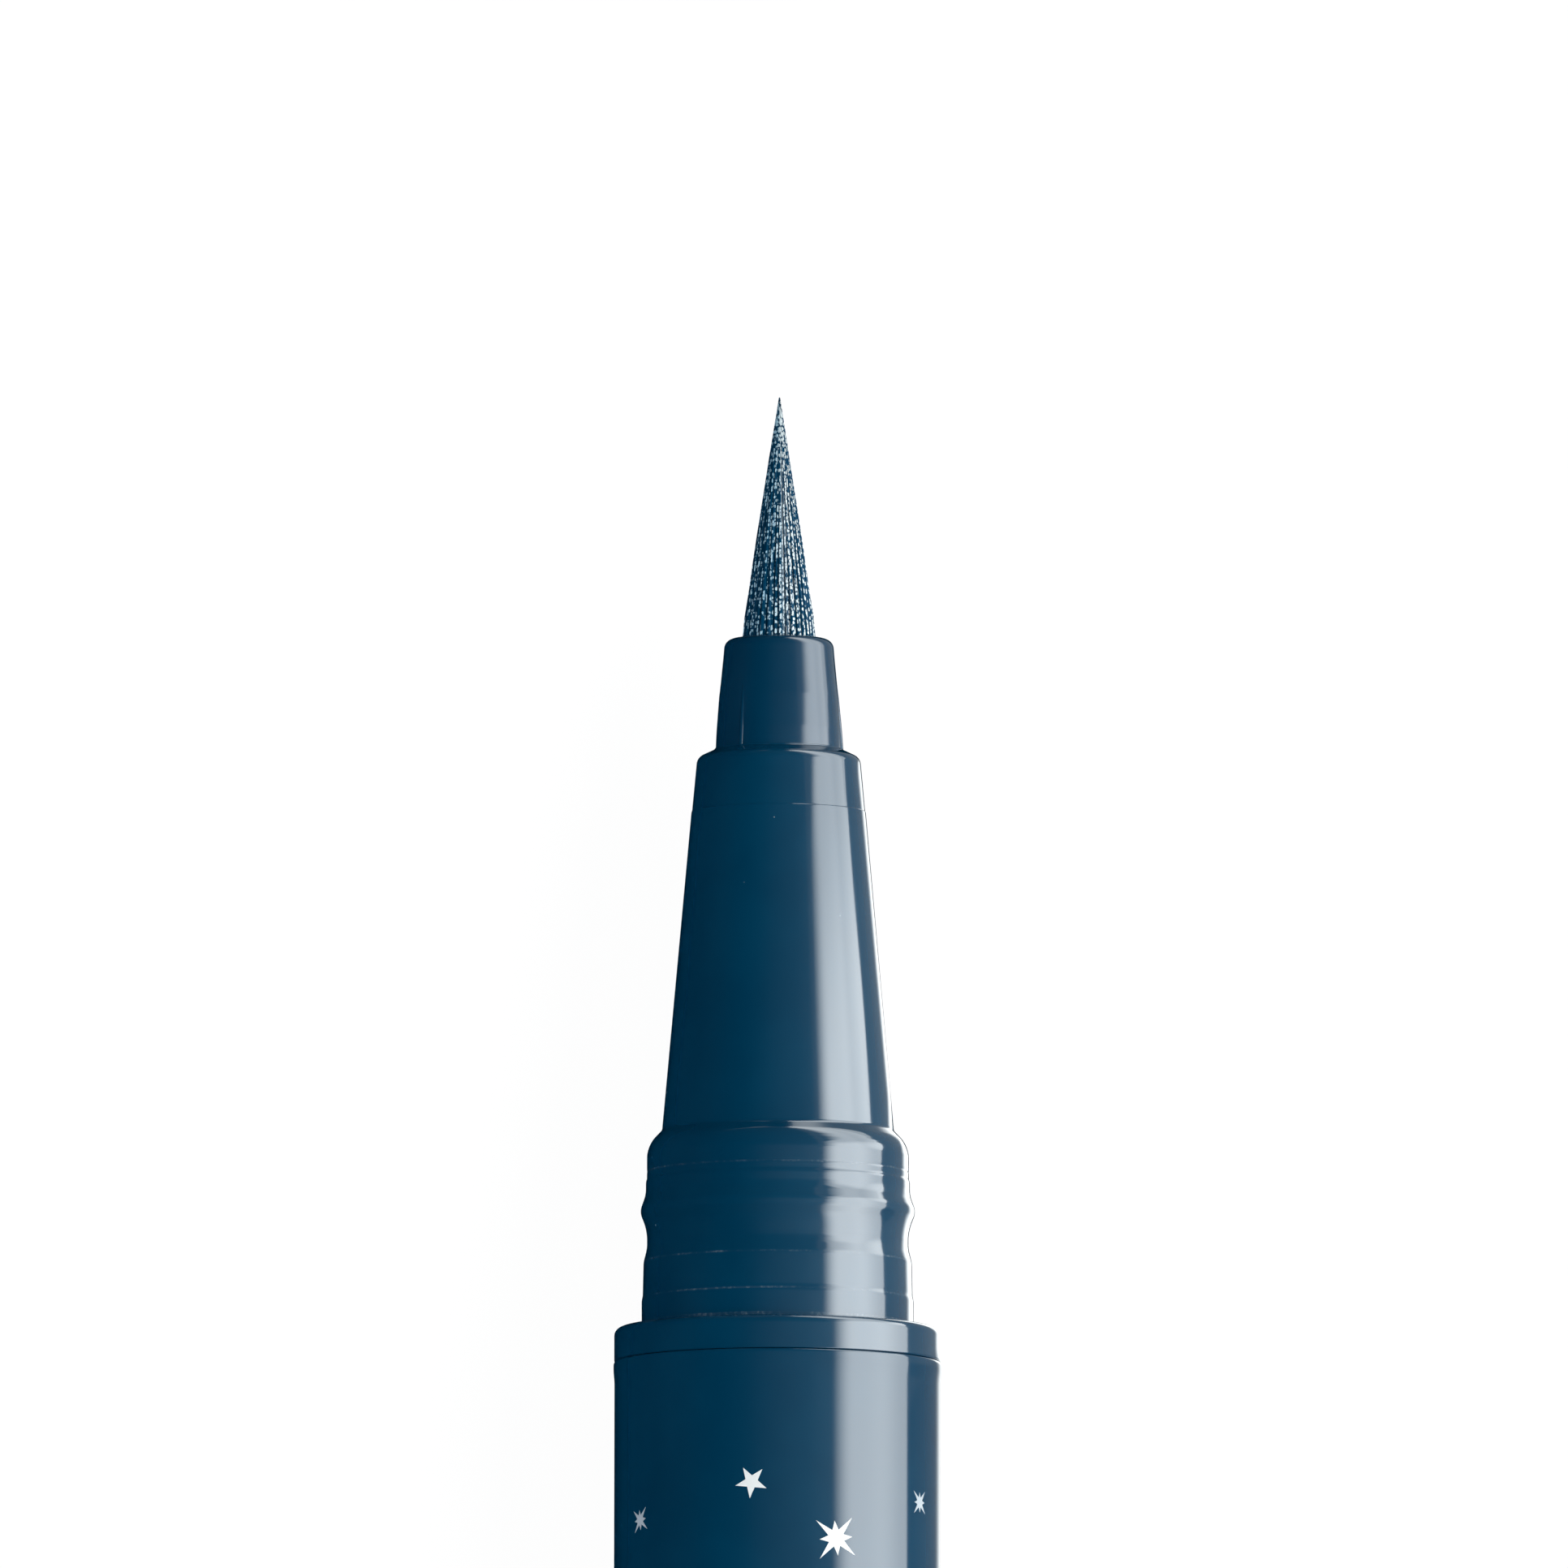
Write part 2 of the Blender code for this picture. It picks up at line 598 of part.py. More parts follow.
def collector_outline(fin_count, top):
    """Ink collector: fins on a hollow boss, then a flange with its seal ring's groove."""
    fin_radius = SKIRT_BORE - FIT_GAP
    flange = TANK_BORE - FIT_GAP
    groove = TANK_BORE - RING_GAP - RING_THICKNESS - RING_GAP - FIT_GAP
    outline = [(CORE_BORE, top), (COLLECTOR_BOSS_RADIUS, top)]
    for index in range(fin_count):
        fin_top = top - COLLECTOR_NOSE_LENGTH - index * FIN_PITCH
        fin_bottom = fin_top - FIN_THICKNESS
        outline += [
            (COLLECTOR_BOSS_RADIUS, fin_top),
            (fin_radius, fin_top),
            (fin_radius, fin_bottom),
            (COLLECTOR_BOSS_RADIUS, fin_bottom),
        ]
    outline += [
        (COLLECTOR_BOSS_RADIUS, COLLECTOR_SEAT),
        (flange, COLLECTOR_SEAT),
        (flange, COLLECTOR_SEAT - COLLECTOR_FLANGE_WEB),
        (groove, COLLECTOR_SEAT - COLLECTOR_FLANGE_WEB),
        (groove, COLLECTOR_FLANGE_END + COLLECTOR_FLANGE_WEB),
        (flange, COLLECTOR_FLANGE_END + COLLECTOR_FLANGE_WEB),
        (flange, COLLECTOR_FLANGE_END),
        (COLLECTOR_BOSS_RADIUS, COLLECTOR_FLANGE_END),
        (COLLECTOR_BOSS_RADIUS, COLLECTOR_END),
        (CORE_BORE, COLLECTOR_END),
    ]
    return outline


def vent_mesh(top):
    """Box that cuts the collector's air channel through its fins, on the pen's upper side."""
    bottom = COLLECTOR_SEAT + OVERRUN
    inner = COLLECTOR_BOSS_RADIUS
    outer = SKIRT_BORE + OVERRUN
    shape = bmesh.new()
    bmesh.ops.create_cube(shape, size=1.0)
    size = Vector((outer - inner, VENT_WIDTH, top + OVERRUN - bottom))
    bmesh.ops.scale(shape, vec=size, verts=shape.verts[:])
    middle = Vector((-0.5 * (outer + inner), 0.0, 0.5 * (top + OVERRUN + bottom)))
    bmesh.ops.translate(shape, vec=middle, verts=shape.verts[:])
    mesh = bpy.data.meshes.new("collector_vent")
    shape.to_mesh(mesh)
    shape.free()
    return mesh


def tank_outline():
    """Ink tank: a cup that opens towards the collector."""
    return [
        (0.0, TANK_BOTTOM + TANK_FLOOR),
        (TANK_BORE, TANK_BOTTOM + TANK_FLOOR),
        (TANK_BORE, COLLECTOR_SEAT),
        (INSIDE_RADIUS, COLLECTOR_SEAT),
        (INSIDE_RADIUS, TANK_BOTTOM),
        (0.0, TANK_BOTTOM),
    ]


def ball_mesh():
    """Mixing ball round its own centre."""
    shape = bmesh.new()
    bmesh.ops.create_uvsphere(shape, u_segments=SMALL_STEPS, v_segments=SMALL_STEPS // 2, radius=BALL_RADIUS)
    mesh = bpy.data.meshes.new("mixing_ball")
    shape.to_mesh(mesh)
    shape.free()
    return mesh


def cap_shell_outline():
    """Cap shell: plain tube with a rounded mouth, a snap groove and the liner's stop."""
    stop_bottom = LINER_FRONT - SEAM_GAP - LINER_STOP_HEIGHT
    groove_heights = [CLOSED_NECK_TOP * (1.0 - share) for share in SNAP_GROOVE_SHARES]
    groove_top, groove_upper, groove_lower, groove_bottom = groove_heights
    return [
        (CAP_BORE, CAP_SHELL_END),
        (BARREL_RADIUS, CAP_SHELL_END),
        *bottom_round(BARREL_RADIUS, 0.0, CAP_MOUTH_ROUND, CAP_MOUTH_ROUND),
        (CAP_BORE + CAP_MOUTH_ROUND, 0.0),
        (CAP_BORE, CAP_MOUTH_ROUND),
        (CAP_BORE, groove_bottom),
        (CAP_BORE + SNAP_GROOVE_DEPTH, groove_lower),
        (CAP_BORE + SNAP_GROOVE_DEPTH, groove_upper),
        (CAP_BORE, groove_top),
        (CAP_BORE, stop_bottom - LINER_STOP_RISE),
        (CAP_BORE - LINER_STOP_RISE, stop_bottom),
        (CAP_BORE - LINER_STOP_RISE, LINER_FRONT - SEAM_GAP),
        (CAP_BORE, LINER_FRONT - SEAM_GAP),
    ]


def liner_outline():
    """Liner that guides the inner cap, with a lip at its front that keeps it in."""
    lip_radius = cone_radius(LINER_ABOVE_NECK) + LINER_LIP_GAP
    lip_top = LINER_FRONT + LINER_LIP_HEIGHT
    liner_end = CAP_PLUG_INNER_END - SEAM_GAP
    return [
        (LINER_BORE, liner_end),
        (LINER_RADIUS, liner_end),
        (LINER_RADIUS, LINER_FRONT),
        (lip_radius, LINER_FRONT),
        (lip_radius, lip_top),
        (LINER_BORE, lip_top),
    ]


def inner_cap_outline():
    """Inner cap: a cup with a flange at its mouth, which closes round the cone."""
    mouth_radius = cone_radius(INNER_CAP_FRONT - CLOSED_NECK_TOP) + INNER_CAP_GAP
    end_radius = mouth_radius - INNER_CAP_DRAFT
    flange = LINER_BORE - FIT_GAP
    flange_top = INNER_CAP_FRONT + INNER_CAP_FLANGE_HEIGHT
    outline = [(0.0, INNER_CAP_BACK)]
    outline += top_round(end_radius + INNER_CAP_WALL, INNER_CAP_BACK, INNER_CAP_WALL, INNER_CAP_WALL)
    outline += [
        (mouth_radius + INNER_CAP_WALL, flange_top),
        (flange, flange_top),
        (flange, INNER_CAP_FRONT),
        (mouth_radius, INNER_CAP_FRONT),
        (end_radius, INNER_CAP_INSIDE_END),
        (0.0, INNER_CAP_INSIDE_END),
    ]
    return outline


def spring_mesh():
    """Coil spring between the inner cap and the cap's end plug, as one welded tube."""
    low = INNER_CAP_BACK + SEAM_GAP + SPRING_WIRE_RADIUS
    high = CAP_LENGTH - PLUG_HEAD_HEIGHT - SEAM_GAP - SPRING_WIRE_RADIUS
    count = SPRING_TURNS * SPRING_POINTS_PER_TURN
    curve = bpy.data.curves.new("spring_path", "CURVE")
    curve.dimensions = "3D"
    curve.bevel_depth = SPRING_WIRE_RADIUS
    curve.bevel_resolution = 1
    curve.use_fill_caps = True
    spline = curve.splines.new("POLY")
    spline.points.add(count)
    for index, point in enumerate(spline.points):
        angle = 2.0 * math.pi * index / SPRING_POINTS_PER_TURN
        height = low + (high - low) * index / count
        point.co = (SPRING_RADIUS * math.cos(angle), SPRING_RADIUS * math.sin(angle), height, 1.0)
    path = bpy.data.objects.new("spring_path", curve)
    bpy.context.scene.collection.objects.link(path)
    mesh = evaluated_mesh(path)
    bpy.data.objects.remove(path, do_unlink=True)
    shape = bmesh.new()
    shape.from_mesh(mesh)
    bmesh.ops.remove_doubles(shape, verts=shape.verts[:], dist=MERGE_DISTANCE)
    shape.to_mesh(mesh)
    shape.free()
    return mesh


def build_barrel(assembly, pen):
    """Outer barrel and its tail plug."""
    assembly.add("barrel", turned_mesh(barrel_outline()), NAVY_GLOSS, pen)
    assembly.add("tail_plug", turned_mesh(plug_outline()), NAVY_GLOSS, pen)


def build_front_section(assembly, pen):
    """Front section with the seal ring on its skirt."""
    ring_middle = BARREL_LENGTH - SKIRT_LENGTH * SKIRT_GROOVE_DEPTH_SHARE
    outline = front_section_outline(ring_middle)
    assembly.add("front_section", turned_mesh(outline), NAVY_GLOSS, pen)
    ring = seal_ring_outline(BARREL_BORE - RING_GAP, ring_middle)
    assembly.add("barrel_seal_ring", turned_mesh(ring), BLACK_RUBBER, pen)


def build_nib(assembly, pen):
    """Nib holder with its ribs, and the brush in it."""
    holder = assembly.add("nib_holder", turned_mesh(holder_outline()), NAVY_GLOSS, pen)
    step = 2.0 * math.pi / RIB_COUNT
    ribs = []
    for index in range(RIB_COUNT):
        mesh = rib_mesh(RIB_FIRST_ANGLE + step * index)
        ribs.append(assembly.cutter(f"holder_rib_{index + 1}", mesh, pen))
    join_guides(holder, ribs, "UNION")
    assembly.add("brush_tip", brush_mesh(), FILAMENT, pen)


def build_ink_path(assembly, pen):
    """Core, pipe, collector with its seal ring, tank and mixing ball."""
    fin_room = BORE_TOP - COLLECTOR_SEAT - COLLECTOR_NOSE_LENGTH - FIN_PITCH
    fin_count = max(1, int(fin_room / FIN_PITCH))
    top = COLLECTOR_SEAT + fin_count * FIN_PITCH + COLLECTOR_NOSE_LENGTH
    assembly.add("relay_core", turned_mesh(core_outline(), SMALL_STEPS), FELT, pen)
    pipe = rectangle_ring(CORE_BORE, CORE_BORE + PIPE_WALL, top + SEAM_GAP, ROOT_END - SEAM_GAP)
    assembly.add("relay_pipe", turned_mesh(pipe, SMALL_STEPS), NATURAL_PLASTIC, pen)
    outline = collector_outline(fin_count, top)
    collector = assembly.add("ink_collector", turned_mesh(outline, SMALL_STEPS), WHITE_PLASTIC, pen)
    join_guides(collector, [assembly.cutter("collector_vent", vent_mesh(top), pen)], "DIFFERENCE")
    ring_middle = 0.5 * (COLLECTOR_SEAT + COLLECTOR_FLANGE_END)
    ring = seal_ring_outline(TANK_BORE - RING_GAP, ring_middle)
    assembly.add("tank_seal_ring", turned_mesh(ring), BLACK_RUBBER, pen)
    assembly.add("ink_tank", turned_mesh(tank_outline()), NATURAL_PLASTIC, pen)
    lowest = TANK_BORE * math.cos(math.pi / ROUND_STEPS) - SEAM_GAP
    centre = (lowest - BALL_RADIUS, 0.0, TANK_BOTTOM + TANK_FLOOR + SEAM_GAP + BALL_RADIUS)
    assembly.add("mixing_ball", ball_mesh(), STEEL, pen, centre)


def build_cap(assembly, cap):
    """Cap shell, end plug, liner, inner cap and the inner cap's spring."""
    assembly.add("cap_shell", turned_mesh(cap_shell_outline()), NAVY_GLOSS, cap)
    assembly.add("cap_end_plug", turned_mesh(cap_plug_outline()), NAVY_GLOSS, cap)
    assembly.add("cap_liner", turned_mesh(liner_outline()), NAVY_SATIN, cap)
    assembly.add("inner_cap", turned_mesh(inner_cap_outline()), NATURAL_PLASTIC, cap)
    assembly.add("inner_cap_spring", spring_mesh(), STEEL, cap)


def main():
    """Build the pen and its cap, lying in line on the surface at height zero."""
    clear_scene()
    assembly = Assembly()
    whole_length = BRUSH_TIP + CAP_REST_GAP + CAP_LENGTH
    axis_height = (BARREL_RADIUS + RIM_FLARE) * math.cos(math.pi / ROUND_STEPS)
    lying = (0.0, 0.5 * math.pi, 0.0)
    pen = assembly.frame("pen_frame", (-0.5 * whole_length, 0.0, axis_height), lying)
    cap = assembly.frame("cap_frame", (0.0, 0.0, BRUSH_TIP + CAP_REST_GAP), (0.0, 0.0, 0.0), pen)
    bpy.context.view_layer.update()
    build_barrel(assembly, pen)
    build_front_section(assembly, pen)
    build_nib(assembly, pen)
    build_ink_path(assembly, pen)
    build_cap(assembly, cap)


main()
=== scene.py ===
"""Looks of a brush-tip liquid eyeliner pen that lies in line with its pulled-off cap.

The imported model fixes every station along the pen. Each class below holds the sizes of one
sub-assembly, turns or grows its fine meshes round the pen's axis and dresses them.
Lengths are in metres. +X runs from the tail towards the brush, and +Z is up.
"""

import logging
import math
import random
from dataclasses import dataclass
from enum import Enum
from typing import Any, Callable, Iterator, Sequence

import bmesh
import bpy
from mathutils import Matrix, Vector


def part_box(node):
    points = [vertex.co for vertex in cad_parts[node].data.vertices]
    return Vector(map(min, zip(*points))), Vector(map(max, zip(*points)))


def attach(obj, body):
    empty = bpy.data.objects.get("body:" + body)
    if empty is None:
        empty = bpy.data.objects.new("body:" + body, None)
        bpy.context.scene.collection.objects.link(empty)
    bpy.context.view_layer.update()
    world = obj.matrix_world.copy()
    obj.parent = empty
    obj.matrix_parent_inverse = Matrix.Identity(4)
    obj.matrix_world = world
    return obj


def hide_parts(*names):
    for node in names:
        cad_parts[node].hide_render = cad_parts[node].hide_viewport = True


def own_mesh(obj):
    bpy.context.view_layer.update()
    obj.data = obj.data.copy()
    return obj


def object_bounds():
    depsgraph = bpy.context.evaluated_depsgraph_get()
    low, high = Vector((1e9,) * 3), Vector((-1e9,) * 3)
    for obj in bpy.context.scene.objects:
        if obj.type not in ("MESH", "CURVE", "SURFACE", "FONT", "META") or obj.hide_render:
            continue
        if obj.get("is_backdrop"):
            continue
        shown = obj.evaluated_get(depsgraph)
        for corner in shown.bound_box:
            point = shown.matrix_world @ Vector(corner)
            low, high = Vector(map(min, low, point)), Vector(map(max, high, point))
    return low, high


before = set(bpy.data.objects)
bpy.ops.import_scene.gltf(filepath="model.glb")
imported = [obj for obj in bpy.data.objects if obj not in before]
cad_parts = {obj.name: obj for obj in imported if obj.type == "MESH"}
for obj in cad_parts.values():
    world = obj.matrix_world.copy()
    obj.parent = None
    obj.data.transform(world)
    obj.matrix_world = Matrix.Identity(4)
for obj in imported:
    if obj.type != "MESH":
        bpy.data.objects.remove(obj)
cad_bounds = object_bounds()

log = logging.getLogger("eyeliner_pen")

MM = 0.001

# Vertex attributes that the filaments' finish reads to place its painted glints and painted shade
CREST = "crest"
SIDE = "side"

# Heights above the barrel's rim of the creases that hold a line of dust
DUST_LINE_HEIGHTS = (1.10 * MM, 1.20 * MM, 1.26 * MM, 2.10 * MM, 3.32 * MM, 6.31 * MM)

Colour = tuple[float, float, float]

# Start and end of an input range, and the results at both
Change = tuple[float, float, float, float]

# Values between which a noise mostly lies
NOISE_RANGE = (0.3, 0.7)


def opaque(colour: Colour) -> tuple[float, float, float, float]:
    """Give a colour its full alpha."""
    return (*colour, 1.0)


def add_object(name: str, data: bpy.types.ID) -> bpy.types.Object:
    """Add an object to the scene.

    Args:
        name: The object's name.
        data: Its mesh, lamp or camera.

    Returns:
        The object.
    """
    item = bpy.data.objects.new(name, data)
    bpy.context.scene.collection.objects.link(item)
    return item


def add_shape(
    name: str, shape: bmesh.types.BMesh, materials: Sequence[bpy.types.Material]
) -> bpy.types.Object:
    """Add an object from a finished shape.

    Args:
        name: The object's name.
        shape: Its shape, which is freed.
        materials: Its materials, in the order of the faces' indices.

    Returns:
        The object.
    """
    mesh = bpy.data.meshes.new(name)
    shape.to_mesh(mesh)
    shape.free()
    for material in materials:
        mesh.materials.append(material)
    return add_object(name, mesh)


# Stations and turning


@dataclass(frozen=True)
class Stations:
    """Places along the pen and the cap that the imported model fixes, in world X.

    Attributes:
        axis_height: Height of the pen's axis above the surface.
    """

    axis_height: float
    tail_face: float
    tail_spigot_end: float
    barrel_start: float
    barrel_rim: float
    skirt_end: float
    cone_top: float
    holder_end: float
    holder_top: float
    root_end: float
    brush_tip: float
    cap_mouth: float
    cap_shell_end: float
    cap_spigot_end: float
    cap_end: float
    liner_front: float
    liner_end: float
    inner_cap_front: float
    inner_cap_back: float
    spring_front: float
    spring_back: float

    @classmethod
    def from_frame(cls) -> "Stations":
        """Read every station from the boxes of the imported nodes.

        Returns:
            The stations of this model.
        """
        ends = {
            "tail_plug": ("tail_face", "tail_spigot_end"),
            "barrel": ("barrel_start", "barrel_rim"),
            "front_section": ("skirt_end", "cone_top"),
            "nib_holder": ("holder_end", "holder_top"),
            "brush_tip": ("root_end", "brush_tip"),
            "cap_shell": ("cap_mouth", "cap_shell_end"),
            "cap_end_plug": ("cap_spigot_end", "cap_end"),
            "cap_liner": ("liner_front", "liner_end"),
            "inner_cap": ("inner_cap_front", "inner_cap_back"),
            "inner_cap_spring": ("spring_front", "spring_back"),
        }
        places = {}
        for node, names in ends.items():
            places.update(zip(names, (corner.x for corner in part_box(node))))
        low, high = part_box("barrel")
        return cls(axis_height=0.5 * (low.z + high.z), **places)


@dataclass(frozen=True)
class Corner:
    """One corner of a turned outline.

    Attributes:
        radius: Distance from the pen's axis.
        along: Place along the pen, in world X.
        rounding: Length that the rounding takes off each side of the corner.
    """

    radius: float
    along: float
    rounding: float = 0.0


@dataclass(frozen=True)
class Lathe:
    """Turns outlines round the pen's axis into closed meshes, and grows rods along it.

    Attributes:
        axis_height: Height of the axis above the surface.
        segments: Facets of a full turn.
        arc_steps: Facets of one rounded corner.
        hold: Length of the short facet that keeps a long side flat beside a rounding.
        merge: Distance under which points are one.
    """

    axis_height: float
    segments: int = 192
    arc_steps: int = 6
    hold: float = 0.03 * MM
    merge: float = 0.0002 * MM

    @property
    def centre(self) -> Vector:
        """Give a point on the axis."""
        return Vector((0.0, 0.0, self.axis_height))

    def _hold_sides(self, shape: bmesh.types.BMesh) -> None:
        """Split each long side near both ends, so that smooth shading keeps it straight.

        Args:
            shape: The outline, before it is turned.
        """
        for edge in list(shape.edges):
            first, second = edge.verts
            length = edge.calc_length()
            if length > 4.0 * self.hold:
                _, near = bmesh.utils.edge_split(edge, first, self.hold / length)
                rest = next(item for item in near.link_edges if second in item.verts)
                bmesh.utils.edge_split(rest, second, self.hold / rest.calc_length())

    def turn(self, corners: Sequence[Corner]) -> bmesh.types.BMesh:
        """Turn an outline into a closed mesh.

        Args:
            corners: The outline. One that starts on the axis also ends there, and any other
                closes on itself as a ring.

        Returns:
            The turned shape with its faces outwards.
        """
        shape = bmesh.new()
        points = [
            shape.verts.new((corner.along, 0.0, self.axis_height + corner.radius))
            for corner in corners
        ]
        for first, second in zip(points, points[1:]):
            shape.edges.new((first, second))
        if corners[0].radius > 0.0:
            shape.edges.new((points[-1], points[0]))
        for corner, point in zip(corners, points):
            if corner.rounding > 0.0:
                bmesh.ops.bevel(
                    shape,
                    geom=[point],
                    offset=corner.rounding,
                    offset_type="OFFSET",
                    segments=self.arc_steps,
                    profile=0.5,
                    affect="VERTICES",
                    material=-1,
                )
        self._hold_sides(shape)
        bmesh.ops.spin(
            shape,
            geom=shape.verts[:] + shape.edges[:],
            cent=self.centre,
            axis=Vector((1.0, 0.0, 0.0)),
            angle=2.0 * math.pi,
            steps=self.segments,
            use_merge=True,
        )
        bmesh.ops.remove_doubles(shape, verts=shape.verts[:], dist=self.merge)
        bmesh.ops.recalc_face_normals(shape, faces=shape.faces[:])
        return shape

    def grow(
        self,
        shape: bmesh.types.BMesh,
        count: int,
        rings: int,
        sides: int,
        section: Callable[[int, int], tuple[Vector, float]],
    ) -> None:
        """Grow closed rods forwards along the pen, all of them ring by ring.

        Args:
            shape: The shape that gets the rods.
            count: Number of rods.
            rings: Rings of points after a rod's first one.
            sides: Sides of a rod.
            section: Gives the centre and radius of a rod at a ring.

        Each point keeps how far it faces out from the pen's axis, from -1 to 1, as CREST, and how
        far towards -Y its rod lies, from -1 to 1, as SIDE.
        """
        number = shape.faces.layers.int.new("rod")
        crest = shape.verts.layers.float.new(CREST)
        side = shape.verts.layers.float.new(SIDE)
        upright = Matrix.Rotation(0.5 * math.pi, 4, "Y")
        front, places = [], []

        def mark(ring_face: bmesh.types.BMFace, middle: Vector, size: float) -> None:
            """Keep where a ring's points face.

            Args:
                ring_face: The face inside the ring.
                middle: The ring's centre.
                size: Its radius.
            """
            out = Vector((0.0, middle.y, middle.z - self.axis_height)).normalized()
            for vertex in ring_face.verts:
                vertex[crest] = (vertex.co - middle).dot(out) / size
                vertex[side] = -out.y

        for index in range(count):
            centre, radius = section(index, 0)
            matrix = Matrix.Translation(centre) @ Matrix.Rotation(float(index), 4, "X") @ upright
            made = bmesh.ops.create_circle(shape, cap_ends=True, segments=sides, radius=radius, matrix=matrix)
            front.append(made["verts"][0].link_faces[0])
            front[index][number] = index
            places.append((centre, radius))
            mark(front[index], centre, radius)
        for ring in range(1, rings + 1):
            front = bmesh.ops.extrude_discrete_faces(shape, faces=front)["faces"]
            for face in front:
                index = face[number]
                centre, radius = section(index, ring)
                old_centre, old_radius = places[index]
                for vertex in face.verts:
                    vertex.co = centre + (vertex.co - old_centre) * (radius / old_radius)
                places[index] = (centre, radius)
                mark(face, centre, radius)
        open_edges = [edge for edge in shape.edges if edge.is_boundary]
        bmesh.ops.holes_fill(shape, edges=open_edges, sides=sides)
        bmesh.ops.recalc_face_normals(shape, faces=shape.faces[:])

    def wrap(self, around: float, along: float, radius: float) -> Vector:
        """Place a point on a cylinder round the axis.

        Args:
            around: Angle from straight up, towards -Y.
            along: Place along the pen, in world X.
            radius: Distance from the axis.

        Returns:
            The point in the row frame.
        """
        return self.centre + Vector((along, -radius * math.sin(around), radius * math.cos(around)))


@dataclass(frozen=True)
class Dresser:
    """Turns finished shapes into named pieces that ride on the model's bodies.

    Attributes:
        sharp_angle: Angle above which an edge stays sharp.
    """

    sharp_angle: float = math.radians(35.0)

    def piece(
        self,
        name: str,
        shape: bmesh.types.BMesh,
        materials: Sequence[bpy.types.Material],
        body: str,
        slot: str,
        replaced: Sequence[str] = (),
    ) -> bpy.types.Object:
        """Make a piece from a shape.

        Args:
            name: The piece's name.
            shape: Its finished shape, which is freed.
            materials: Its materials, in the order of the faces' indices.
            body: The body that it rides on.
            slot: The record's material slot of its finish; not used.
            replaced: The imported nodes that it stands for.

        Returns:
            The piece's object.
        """
        item = add_shape(name, shape, materials)
        item.data.shade_smooth()
        item.data.set_sharp_from_angle(angle=self.sharp_angle)
        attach(item, body)
        if replaced:
            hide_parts(*replaced)
        log.info("%s: %d faces, rides on %s", name, len(item.data.polygons), body)
        return item

    def node(self, name: str, material: bpy.types.Material) -> None:
        """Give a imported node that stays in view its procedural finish.

        Args:
            name: The node's name.
            material: Its material.
        """
        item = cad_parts[name]
        item.data.materials.clear()
        item.data.materials.append(material)
        log.info("%s: packed node with %s", name, material.name)


# Node graphs and finishes


